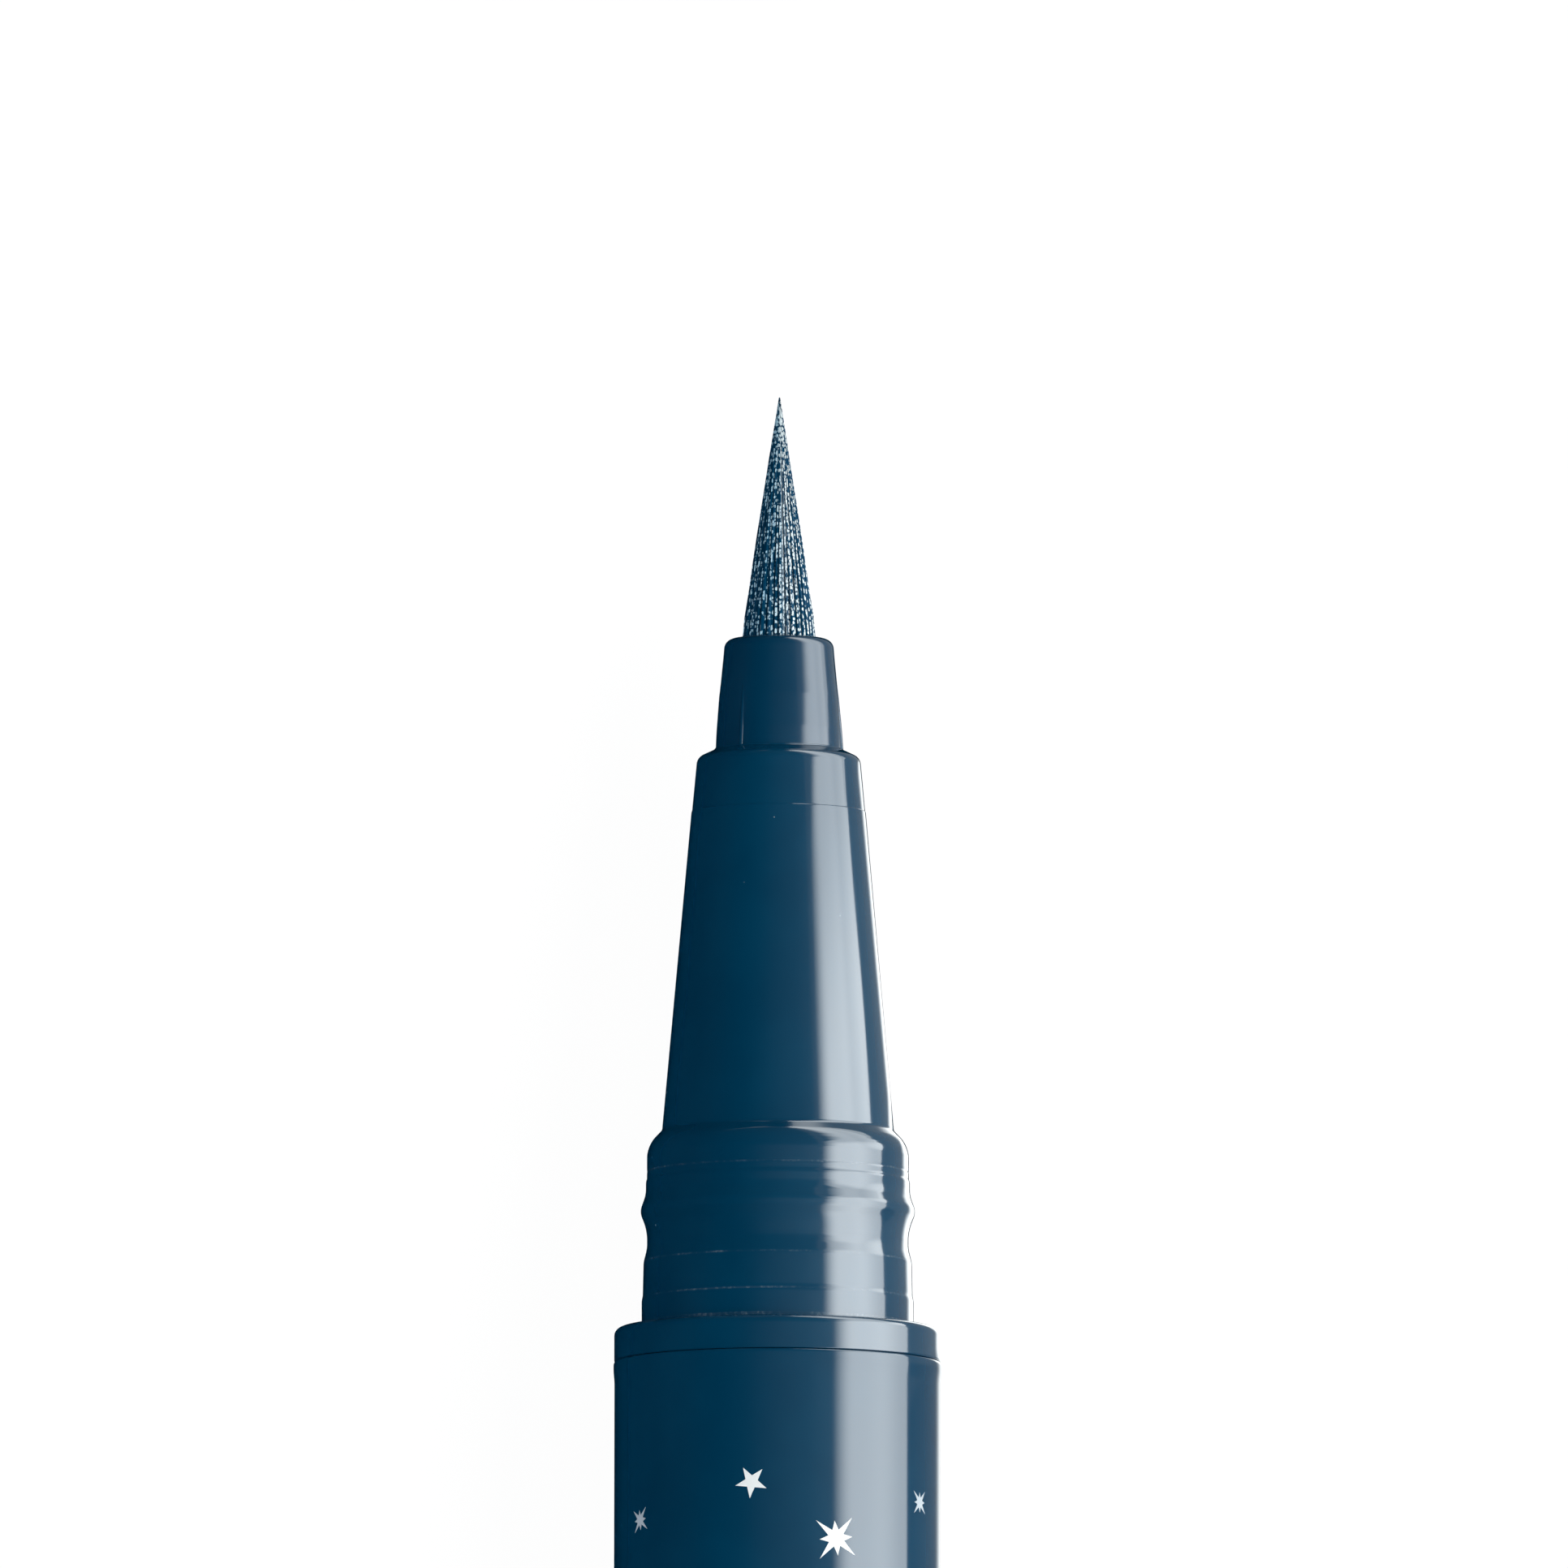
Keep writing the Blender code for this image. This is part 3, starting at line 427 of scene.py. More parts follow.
class NodeGraph:
    """Adds and links the nodes of one material or world."""

    def __init__(self, owner: bpy.types.ID) -> None:
        """Start an empty graph.

        Args:
            owner: The material or world that gets the nodes.
        """
        owner.use_nodes = True
        self.tree = owner.node_tree
        self.tree.nodes.clear()

    def add(self, kind: str, inputs: dict[str | int, Any], **settings: Any) -> bpy.types.Node:
        """Add one node.

        Args:
            kind: Blender's identifier of the node, without its Shader prefix.
            inputs: Sockets to link from or plain values, by the input's name or index.
            settings: Attributes to set on the node.

        Returns:
            The new node.
        """
        node = self.tree.nodes.new(f"ShaderNode{kind}")
        for key, value in settings.items():
            setattr(node, key, value)
        for key, value in inputs.items():
            if isinstance(value, bpy.types.NodeSocket):
                self.tree.links.new(value, node.inputs[key])
            else:
                node.inputs[key].default_value = value
        return node

    def place(self, centre: Vector, stretch: Sequence[float] = (1.0, 1.0, 1.0)) -> bpy.types.NodeSocket:
        """Read Object coordinates from a centre, stretched along each axis.

        Args:
            centre: The point that becomes the pattern's origin.
            stretch: Scale of the pattern's coordinates along X, Y and Z.

        Returns:
            The coordinates' socket.
        """
        source = self.add("TexCoord", {}).outputs["Object"]
        shift = self.add("VectorMath", {0: source, 1: centre}, operation="SUBTRACT").outputs["Vector"]
        return self.add("Mapping", {"Vector": shift, "Scale": stretch}).outputs["Vector"]

    def noise(self, place: bpy.types.NodeSocket, size: float, detail: float = 2.0) -> bpy.types.NodeSocket:
        """Add a noise whose blotches have about this size.

        Args:
            place: The coordinates.
            size: Size of one blotch, in metres.
            detail: Octaves of finer noise.

        Returns:
            The noise value's socket.
        """
        return self.add("TexNoise", {"Vector": place, "Scale": 1.0 / size, "Detail": detail}).outputs["Fac"]

    def patches(
        self, place: bpy.types.NodeSocket, size: float, change: Change, detail: float = 2.0
    ) -> bpy.types.NodeSocket:
        """Add a noise and map its value smoothly.

        Args:
            place: The coordinates.
            size: Size of one blotch, in metres.
            change: How the noise value maps.
            detail: Octaves of finer noise.

        Returns:
            The mapped value's socket.
        """
        return self.span(self.noise(place, size, detail), *change)

    def span(
        self, value: bpy.types.NodeSocket, start: float, end: float, low: float, high: float
    ) -> bpy.types.NodeSocket:
        """Map a value smoothly from one range to another, held at both ends.

        Args:
            value: The value's socket.
            start: Where the input range starts.
            end: Where it ends.
            low: Result at the start.
            high: Result at the end.

        Returns:
            The mapped value's socket.
        """
        inputs = {"Value": value, "From Min": start, "From Max": end, "To Min": low, "To Max": high}
        node = self.add("MapRange", inputs, interpolation_type="SMOOTHSTEP")
        return node.outputs["Result"]

    def profile(
        self, value: bpy.types.NodeSocket, changes: Sequence[Change], operation: str = "ADD"
    ) -> bpy.types.NodeSocket:
        """Join several smooth changes that one value makes.

        Args:
            value: The value's socket.
            changes: How it maps, one change after another.
            operation: Blender's name of the operation that joins them.

        Returns:
            The joined value's socket.
        """
        joined = self.span(value, *changes[0])
        for change in changes[1:]:
            joined = self.math(operation, joined, self.span(value, *change))
        return joined

    def axis(self, name: str) -> bpy.types.NodeSocket:
        """Read one Object coordinate, X, Y or Z."""
        return self.add("SeparateXYZ", {"Vector": self.place(Vector())}).outputs[name]

    def math(self, operation: str, first: Any, second: Any = 0.0) -> bpy.types.NodeSocket:
        """Add one sum, product or comparison of two values.

        Args:
            operation: Blender's name of the operation.
            first: A socket or a number.
            second: A socket or a number.

        Returns:
            The result's socket.
        """
        return self.add("Math", {0: first, 1: second}, operation=operation).outputs["Value"]

    def blend(self, share: Any, first: Any, second: Any) -> bpy.types.NodeSocket:
        """Mix two colours.

        Args:
            share: Share of the second colour, as a socket or a number.
            first: Colour or socket at share 0.
            second: Colour or socket at share 1.

        Returns:
            The mixed colour's socket.
        """
        node = self.tree.nodes.new("ShaderNodeMix")
        node.data_type = "RGBA"
        colours = [item for item in node.inputs if item.type == "RGBA"]
        factor = next(item for item in node.inputs if item.type == "VALUE")
        for target, value in ((factor, share), (colours[0], first), (colours[1], second)):
            if isinstance(value, bpy.types.NodeSocket):
                self.tree.links.new(value, target)
            else:
                target.default_value = value
        return next(item for item in node.outputs if item.type == "RGBA")

    def bump(
        self, height: bpy.types.NodeSocket, depth: float, below: bpy.types.NodeSocket | None = None
    ) -> bpy.types.NodeSocket:
        """Add fine relief.

        Args:
            height: Height from 0 to 1.
            depth: What a height of 1 stands for, in metres.
            below: Normal of a coarser relief under this one.

        Returns:
            The normal's socket.
        """
        inputs = {"Height": height, "Distance": depth, "Strength": 1.0}
        if below is not None:
            inputs["Normal"] = below
        return self.add("Bump", inputs).outputs["Normal"]

    def surface(self, inputs: dict[str | int, Any]) -> None:
        """Close a material with a Principled surface.

        Args:
            inputs: Sockets and values of the Principled shader.
        """
        shader = self.add("BsdfPrincipled", inputs)
        self.add("OutputMaterial", {"Surface": shader.outputs["BSDF"]})


@dataclass(frozen=True)
class MouldedGloss:
    """Glossy moulded plastic with faint flow clouds, handling haze and a few specks of dust.

    Attributes:
        name: The material's name.
        centre: A point on the pen's axis, which the patterns turn round.
        colour: Main colour.
        deep: Colour of the darker flow clouds.
        dust: Colour of the specks.
        roughness: Roughness where the surface is cleanest.
        haze: What handling adds to the roughness at most.
        dust_roughness: What dust adds to it at most.
        cloud_size: Size of a flow cloud.
        cloud_tone: How the clouds turn from the deep colour to the main one.
        smear: Noise values between which the handling haze comes in.
        smear_stretch: Scale of the haze along X, Y and Z.
        speck_size: Spacing of the specks.
        speck_share: Radius of a speck as a share of their spacing.
        speck_patches: Where specks gather, by the value of a wide noise.
        tool_mark_pitch: Spacing of the fine turned marks that the mould left.
        tool_mark_depth: Depth of these marks.
        tool_mark_stretch: Scale of the marks along X, Y and Z.
        dust_lines: Places of creases, in world X, where a thin line of dust has settled.
        dust_width: Width of such a line.
        dust_stretches: Longer stretches of a line, by the value of a noise.
        dust_grains: Single grains in a line, by the value of a fine noise.
        ior: Index of refraction.
    """

    name: str
    centre: Vector
    colour: Colour = (0.0004, 0.0460, 0.1015)
    deep: Colour = (0.0002, 0.0412, 0.0930)
    dust: Colour = (0.30, 0.36, 0.40)
    roughness: float = 0.095
    haze: float = 0.03
    dust_roughness: float = 0.5
    cloud_size: float = 3.0 * MM
    cloud_tone: Change = (0.35, 0.65, 0.0, 1.0)
    smear: tuple[float, float] = (0.45, 0.75)
    smear_stretch: tuple[float, float, float] = (0.35, 1.0, 1.0)
    speck_size: float = 1.1 * MM
    speck_share: float = 0.012
    speck_patches: Change = (0.50, 0.62, 0.0, 1.0)
    tool_mark_pitch: float = 0.12 * MM
    tool_mark_depth: float = 0.00004 * MM
    tool_mark_stretch: tuple[float, float, float] = (1.0, 0.02, 0.02)
    dust_lines: tuple[float, ...] = ()
    dust_width: float = 0.05 * MM
    dust_stretches: Change = (0.42, 0.62, 0.15, 1.0)
    dust_grains: Change = (0.45, 0.75, 0.05, 0.28)
    ior: float = 1.50

    def _dust(self, graph: NodeGraph, place: bpy.types.NodeSocket) -> bpy.types.NodeSocket:
        """Scatter specks and lay the lines of dust.

        Args:
            graph: The material's graph.
            place: Coordinates round the pen's axis.

        Returns:
            The socket of how much dust lies there, from 0 to 1.
        """
        cells = graph.add("TexVoronoi", {"Vector": place, "Scale": 1.0 / self.speck_size})
        speck = graph.span(cells.outputs["Distance"], self.speck_share, 2.0 * self.speck_share, 1.0, 0.0)
        gathered = graph.patches(place, 2.0 * self.cloud_size, self.speck_patches)
        dust = graph.math("MULTIPLY", speck, gathered)
        along = graph.axis("X")
        stretches = graph.patches(place, 0.5 * self.cloud_size, self.dust_stretches, 1.0)
        grains = graph.patches(place, 0.05 * self.cloud_size, self.dust_grains, 3.0)
        settled = graph.math("MULTIPLY", stretches, grains)
        for line in self.dust_lines:
            gap = graph.math("ABSOLUTE", graph.math("SUBTRACT", along, line))
            film = graph.span(gap, 0.2 * self.dust_width, self.dust_width, 1.0, 0.0)
            dust = graph.math("MAXIMUM", dust, graph.math("MULTIPLY", film, settled))
        return dust

    def build(self) -> bpy.types.Material:
        """Make the material.

        Returns:
            The material.
        """
        material = bpy.data.materials.new(self.name)
        graph = NodeGraph(material)
        place = graph.place(self.centre)
        cloud = graph.patches(place, self.cloud_size, self.cloud_tone)
        dust = self._dust(graph, place)
        colour = graph.blend(cloud, opaque(self.deep), opaque(self.colour))
        colour = graph.blend(dust, colour, opaque(self.dust))
        hazed = (*self.smear, self.roughness, self.roughness + self.haze)
        smeared = graph.place(self.centre, self.smear_stretch)
        haze = graph.patches(smeared, 0.5 * self.cloud_size, hazed, 4.0)
        roughness = graph.math("ADD", haze, graph.math("MULTIPLY", dust, self.dust_roughness))
        marked = graph.place(self.centre, self.tool_mark_stretch)
        normal = graph.bump(graph.noise(marked, self.tool_mark_pitch, 1.0), self.tool_mark_depth)
        graph.surface({"Base Color": colour, "Roughness": roughness, "IOR": self.ior, "Normal": normal})
        return material


@dataclass(frozen=True)
class SatinPlastic:
    """Moulded plastic with an even, finely grained surface.

    Attributes:
        name: The material's name.
        colour: Main colour.
        shade: Colour in the faint darker blotches.
        roughness: Mean roughness.
        spread: Share by which the grain changes the roughness.
        grain: Size of the grain.
        grain_depth: Depth of the grain.
        blotches: Size of a blotch, in grains.
        blotch_tone: How the blotches turn from the shade to the main colour.
        passing: Share of light that passes through, for a natural polymer.
        passing_depth: How deep that light goes.
        ior: Index of refraction.
    """

    name: str
    colour: Colour
    shade: Colour
    roughness: float = 0.35
    spread: float = 0.1
    grain: float = 0.05 * MM
    grain_depth: float = 0.0006 * MM
    blotches: float = 40.0
    blotch_tone: Change = (0.35, 0.65, 0.0, 1.0)
    passing: float = 0.0
    passing_depth: float = 1.0 * MM
    ior: float = 1.49

    def build(self) -> bpy.types.Material:
        """Make the material.

        Returns:
            The material.
        """
        material = bpy.data.materials.new(self.name)
        graph = NodeGraph(material)
        place = graph.place(Vector())
        blotch = graph.patches(place, self.blotches * self.grain, self.blotch_tone)
        grain = graph.noise(place, self.grain, 3.0)
        low, high = (1.0 - self.spread) * self.roughness, (1.0 + self.spread) * self.roughness
        graph.surface({
            "Base Color": graph.blend(blotch, opaque(self.shade), opaque(self.colour)),
            "Roughness": graph.span(grain, *NOISE_RANGE, low, high),
            "Normal": graph.bump(grain, self.grain_depth),
            "IOR": self.ior,
            "Subsurface Weight": self.passing,
            "Subsurface Radius": (1.0, 1.0, 1.0),
            "Subsurface Scale": self.passing_depth,
        })
        return material


@dataclass(frozen=True)
class GrainFinish:
    """A finish whose colour, roughness and relief follow one fine grain.

    Attributes:
        name: The material's name.
        low: Colour where the grain is low.
        high: Colour where it is high.
        grain: Size of the grain.
        tone: Grain values between which the colour turns.
        roughness: Roughness where the grain is low and where it is high, or one for both.
        relief: Depth of the grain.
        stretch: Scale of the grain along X, Y and Z.
        detail: Octaves of finer grain.
        metallic: 1 for a metal.
        shine: Strength of its highlights, where 0.5 is a plain polymer.
    """

    name: str
    low: Colour
    high: Colour
    grain: float
    tone: tuple[float, float]
    roughness: tuple[float, ...]
    relief: float
    stretch: tuple[float, float, float] = (1.0, 1.0, 1.0)
    detail: float = 4.0
    metallic: float = 0.0
    shine: float = 0.5

    def build(self) -> bpy.types.Material:
        """Make the material.

        Returns:
            The material.
        """
        material = bpy.data.materials.new(self.name)
        graph = NodeGraph(material)
        grain = graph.noise(graph.place(Vector(), self.stretch), self.grain, self.detail)
        tone = graph.span(grain, *self.tone, 0.0, 1.0)
        roughness = self.roughness[0]
        if len(self.roughness) > 1:
            roughness = graph.span(grain, *NOISE_RANGE, *self.roughness)
        graph.surface({
            "Base Color": graph.blend(tone, opaque(self.low), opaque(self.high)),
            "Metallic": self.metallic,
            "Roughness": roughness,
            "Specular IOR Level": self.shine,
            "Normal": graph.bump(grain, self.relief),
        })
        return material


@dataclass(frozen=True)
class WetFilament:
    """Synthetic filaments wet with ink, with light dots and streaks painted in as glints, and painted shade.

    Attributes:
        name: The material's name.
        centre: A point on the pen's axis.
        tip: Place of the brush's tip, in world X, where the painted glint dots crowd.
        ink: Colour of the inked filament.
        glint_colour: Colour of a painted glint dot, a highlight painted on the filament.
        glint_shade_colour: Its colour on the side away from the key light, as painted shade.
        shading: How far a painted glint dot turns from painted shade to the lit colour, by how far its strand
            lies towards -Y, where the key light falls.
        bead: Spacing of the painted glint dots.
        glint_share: Mean radius of a painted glint dot as a share of their spacing.
        glint_blur: Width of a painted glint dot's soft edge to either side, as a share of its radius.
        glint_stretch: Scale of the painted glint dots along X, Y and Z.
        lit_side_glints: Share of painted glint dots that show, by how far the strand lies towards -Y, the
            side the key light reaches.
        band_size: Width of a band of like filaments.
        band_stretch: Scale of the bands along X, Y and Z.
        band_density: What a band leaves of that share.
        tip_density: What the share gains near the tip, by the place beyond it.
        valley_shade: Painted shade between strands: where the painted glint dots fade, by how far a point
            faces out.
        gleam: Share of the glint colour on the strands that face up, a painted highlight.
        gleam_side: Where those strands lie, towards -Y.
        gleam_reach: How far the gleam goes to either side, and where it has ended.
        gleam_crest: The gleam's strength by how far a point faces out.
        gleam_rise: Its strength along the brush, by the place beyond the tip.
        relief: Height of the bump under the painted glints.
        roughness: Roughness of the wet surface.
        shine: Strength of its highlights, where 0.5 is a plain polymer.
        ior: Index of refraction.
    """

    name: str
    centre: Vector
    tip: float
    ink: Colour = (0.0003, 0.045, 0.104)
    glint_colour: Colour = (0.88, 0.96, 1.0)
    glint_shade_colour: Colour = (0.46, 0.72, 0.88)
    shading: Change = (-0.6, 0.45, 0.0, 1.0)
    bead: float = 0.080 * MM
    glint_share: float = 0.54
    glint_blur: float = 0.15
    glint_stretch: tuple[float, float, float] = (0.7, 1.0, 1.0)
    lit_side_glints: Change = (-0.7, 0.5, 0.60, 1.0)
    band_size: float = 0.10 * MM
    band_stretch: tuple[float, float, float] = (0.03, 1.0, 1.0)
    band_density: Change = (0.38, 0.62, 0.70, 1.0)
    tip_density: Change = (-2.2 * MM, -0.4 * MM, 0.0, 0.4)
    valley_shade: Change = (0.46, 0.80, 0.0, 1.0)
    gleam: float = 0.42
    gleam_side: float = 0.16
    gleam_reach: tuple[float, float] = (0.02, 0.11)
    gleam_crest: Change = (0.3, 0.7, 0.3, 1.0)
    gleam_rise: Change = (-6.2 * MM, -4.6 * MM, 0.35, 1.0)
    relief: float = 0.006 * MM
    roughness: float = 0.45
    shine: float = 0.08
    ior: float = 1.50

    def _from_tip(
        self, graph: NodeGraph, along: bpy.types.NodeSocket, change: Change
    ) -> bpy.types.NodeSocket:
        """Map world X, with the change's range counted from the brush's tip."""
        start, end, low, high = change
        return graph.span(along, self.tip + start, self.tip + end, low, high)

    def build(self) -> bpy.types.Material:
        """Make the material.

        Returns:
            The material.
        """
        material = bpy.data.materials.new(self.name)
        graph = NodeGraph(material)
        side = graph.add("Attribute", {}, attribute_name=SIDE).outputs["Fac"]
        crest = graph.add("Attribute", {}, attribute_name=CREST).outputs["Fac"]
        along = graph.axis("X")
        # Light dots painted along the strands stand in for glints: painted highlights
        place = graph.place(self.centre, self.glint_stretch)
        cells = graph.add("TexVoronoi", {"Vector": place, "Scale": 1.0 / self.bead})
        chance = graph.add("SeparateColor", {"Color": cells.outputs["Color"]}).outputs["Red"]
        drawn_out = graph.place(self.centre, self.band_stretch)
        bands = graph.patches(drawn_out, self.band_size, self.band_density, 1.0)
        # More painted glints towards -Y, the side that the key light reaches
        density = graph.math("MULTIPLY", graph.span(side, *self.lit_side_glints), bands)
        tip = self._from_tip(graph, along, self.tip_density)
        density = graph.math("ADD", density, tip)
        blur = self.glint_blur * self.glint_share
        near, far = self.glint_share - blur, self.glint_share + blur
        bead = graph.span(cells.outputs["Distance"], near, far, 1.0, 0.0)
        painted_glint = graph.math("MULTIPLY", bead, graph.math("LESS_THAN", chance, density))
        # Painted shade between strands: the glint dots fade where a point faces inward
        painted_glint = graph.math("MULTIPLY", painted_glint, graph.span(graph.math("ADD", crest, tip), *self.valley_shade))
        # A light streak on the strands that face up: a painted highlight
        middle = graph.math("ABSOLUTE", graph.math("SUBTRACT", side, self.gleam_side))
        gleam = graph.span(middle, *self.gleam_reach, self.gleam, 0.0)
        gleam = graph.math("MULTIPLY", gleam, graph.span(crest, *self.gleam_crest))
        gleam = graph.math("MULTIPLY", gleam, self._from_tip(graph, along, self.gleam_rise))
        painted_glint = graph.math("MAXIMUM", painted_glint, gleam)
        # Painted shade: the glint colour darkens on the side away from the key light
        glint_colour = graph.blend(graph.span(side, *self.shading), opaque(self.glint_shade_colour), opaque(self.glint_colour))
        graph.surface({
            "Base Color": graph.blend(painted_glint, opaque(self.ink), glint_colour),
            "Roughness": self.roughness,
            "IOR": self.ior,
            "Specular IOR Level": self.shine,
            "Normal": graph.bump(painted_glint, self.relief),
        })
        return material


@dataclass(frozen=True)
class Finishes:
    """Every finish of the pen, made once."""

    gloss: bpy.types.Material
    moulding: bpy.types.Material
    holder: bpy.types.Material
    liner: bpy.types.Material
    filament: bpy.types.Material
    natural: bpy.types.Material
    white: bpy.types.Material
    rubber: bpy.types.Material
    steel: bpy.types.Material
    felt: bpy.types.Material
    star_ink: bpy.types.Material
    spark_ink: bpy.types.Material

    @classmethod
    def make(cls, centre: Vector, brush_tip: float, dust_lines: tuple[float, ...]) -> "Finishes":
        """Make all materials.

        Args:
            centre: A point on the pen's axis.
            brush_tip: Place of the brush's tip, in world X.
            dust_lines: Places of the front section's creases that hold dust, in world X.

        Returns:
            The finishes.
        """

        def ink(name: str, full: Colour, thin: Colour) -> GrainFinish:
            """Describe an opaque screen-print ink.

            Args:
                name: The material's name.
                full: Its colour.
                thin: Its colour where the film is thin.

            Returns:
                The finish.
            """
            return GrainFinish(
                name,
                low=thin,
                high=full,
                grain=0.04 * MM,
                tone=(0.30, 0.50),
                roughness=(0.437, 0.323),
                relief=0.0004 * MM,
                detail=3.0,
                shine=0.15,
            )

        recipes = {
            "gloss": MouldedGloss("navy_gloss", centre),
            "moulding": MouldedGloss(
                "navy_moulding",
                centre,
                speck_share=0.022,
                tool_mark_depth=0.0002 * MM,
                dust_lines=dust_lines,
                ior=1.58,
            ),
            "holder": MouldedGloss(
                "navy_satin_gloss",
                centre,
                colour=(0.0004, 0.0400, 0.0910),
                deep=(0.0002, 0.0360, 0.0840),
                roughness=0.14,
                haze=0.04,
                ior=1.55,
            ),
            "liner": SatinPlastic("navy_satin", (0.001, 0.047, 0.107), (0.001, 0.040, 0.094), 0.34),
            # The filaments' finish has glints and shade painted into its colour
            "filament": WetFilament("wet_filament", centre, brush_tip),
            "natural": SatinPlastic(
                "natural_polymer", (0.74, 0.77, 0.77), (0.66, 0.70, 0.71), 0.38, passing=0.35
            ),
            "white": SatinPlastic("white_moulding", (0.78, 0.78, 0.76), (0.71, 0.71, 0.69), 0.42),
            "rubber": GrainFinish(
                "black_elastomer",
                low=(0.018, 0.018, 0.019),
                high=(0.040, 0.040, 0.042),
                grain=0.3 * MM,
                tone=(0.4, 0.7),
                roughness=(0.55, 0.8),
                relief=0.002 * MM,
            ),
            "steel": GrainFinish(
                "drawn_steel",
                low=(0.46, 0.46, 0.48),
                high=(0.62, 0.62, 0.64),
                grain=0.04 * MM,
                tone=(0.35, 0.6),
                roughness=(0.32, 0.18),
                relief=0.0004 * MM,
                stretch=(1.0, 0.3, 0.3),
                metallic=1.0,
            ),
            "felt": GrainFinish(
                "inked_felt",
                low=(0.004, 0.010, 0.022),
                high=(0.030, 0.050, 0.080),
                grain=0.05 * MM,
                tone=(0.45, 0.65),
                roughness=(0.9,),
                relief=0.02 * MM,
                stretch=(0.08, 1.0, 1.0),
            ),
            "star_ink": ink("white_ink", (0.95, 0.96, 0.97), (0.92, 0.93, 0.94)),
            "spark_ink": ink("pale_ink", (0.56, 0.61, 0.67), (0.46, 0.52, 0.59)),
        }
        return cls(**{name: recipe.build() for name, recipe in recipes.items()})


# Star print


class Motif(Enum):
    """Motifs of the scattered print: tips, long reach, short reach, waist and ink index."""

    STAR = (5, 0.55 * MM, 0.55 * MM, 0.215 * MM, 0)
    BURST = (8, 0.90 * MM, 0.58 * MM, 0.29 * MM, 0)
    SPARK = (8, 0.52 * MM, 0.33 * MM, 0.17 * MM, 1)

    def reach(self, index: int) -> float:
        """Give the distance of one rim point from the motif's centre.

        Args:
            index: The rim point, counted round from the first long tip.

        Returns:
            The distance.
        """
        _, long_reach, short_reach, waist, _ = self.value
        if index % 2:
            return waist
        return long_reach if index % 4 == 0 else short_reach


@dataclass(frozen=True)
class Print:
    """One printed motif.

    Attributes:
        motif: What is printed.
        around: Angle of its centre from straight up, towards -Y.
        along: Place of its centre, in world X.
        turn: Angle of its first long tip, clockwise from the brush's direction.
    """

    motif: Motif
    around: float
    along: float
    turn: float


@dataclass
class StarPrint:
    """Scattered stars and bursts, printed on a tube as a thin film of ink.

    Attributes:
        lathe: The pen's lathe.
        radius: Outer radius of the tube.
        film: How far the ink stands proud.
        bedding: How far the film's underside lies in the tube.
        pitch: Mean spacing of the motifs.
        jitter_share: Largest shift of a motif, as a share of the spacing.
        cuts: Cuts of each facet, so that the film follows the tube.
    """

    lathe: Lathe
    radius: float
    film: float = 0.010 * MM
    bedding: float = 0.006 * MM
    pitch: float = 5.5 * MM
    jitter_share: float = 0.27
    cuts: int = 3

    def scatter(self, start: float, end: float, seed: int) -> Iterator[Print]:
        """Spread motifs over a stretch of the tube.

        Args:
            start: First place, in world X.
            end: Last place, in world X.
            seed: Seed of the scatter.

        Yields:
            The motifs, row by row.
        """
        generator = random.Random(seed)
        kinds = (Motif.STAR, Motif.SPARK, Motif.BURST, Motif.SPARK, Motif.STAR)
        columns = round(2.0 * math.pi * self.radius / self.pitch)
        rows = int((end - start) / self.pitch)
        for row in range(rows + 1):
            for column in range(columns):
                shift = [self.jitter_share * generator.uniform(-1.0, 1.0) for _ in range(2)]
                around = 2.0 * math.pi * (column + 0.5 * (row % 2) + shift[0]) / columns
                along = start + (end - start) * row / rows + shift[1] * self.pitch
                along = min(max(along, start), end)
                kind = kinds[(2 * row + column) % len(kinds)]
                yield Print(kind, around, along, generator.uniform(0.0, 2.0 * math.pi))

    def _add(self, shape: bmesh.types.BMesh, mark: Print) -> None:
        """Add one flat motif at its own place.

        Args:
            shape: The flat print, with X across the tube and Y along it.
            mark: The motif.
        """
        tips = mark.motif.value[0]
        rim = 2 * tips
        first = len(shape.faces)
        made = bmesh.ops.create_circle(shape, cap_ends=True, cap_tris=True, segments=rim, radius=self.radius)
        shape.faces.ensure_lookup_table()
        for face in shape.faces[first:]:
            face.material_index = mark.motif.value[4]
        place = Vector((mark.around * self.radius, mark.along, 0.0))
        for vertex in made["verts"]:
            if vertex.co.length > 0.5 * self.radius:
                index = round(math.atan2(vertex.co.x, vertex.co.y) * rim / (2.0 * math.pi)) % rim
                angle = 2.0 * math.pi * index / rim + mark.turn
                vertex.co = mark.motif.reach(index) * Vector((math.sin(angle), math.cos(angle), 0.0))
            vertex.co += place

    def build(self, marks: Sequence[Print]) -> bmesh.types.BMesh:
        """Make the film of all motifs, wrapped round the tube.

        Args:
            marks: The motifs.

        Returns:
            The film as closed shapes.
        """
        shape = bmesh.new()
        for mark in marks:
            self._add(shape, mark)
        bmesh.ops.subdivide_edges(shape, edges=shape.edges[:], cuts=self.cuts, use_grid_fill=True)
        under = shape.faces[:]
        raised = bmesh.ops.extrude_face_region(shape, geom=under, use_keep_orig=True)
        for item in raised["geom"]:
            if isinstance(item, bmesh.types.BMVert):
                item.co.z = self.film + self.bedding
        for vertex in shape.verts:
            radius = self.radius - self.bedding + vertex.co.z
            vertex.co = self.lathe.wrap(vertex.co.x / self.radius, vertex.co.y, radius)
        bmesh.ops.recalc_face_normals(shape, faces=shape.faces[:])
        return shape


# Sub-assemblies


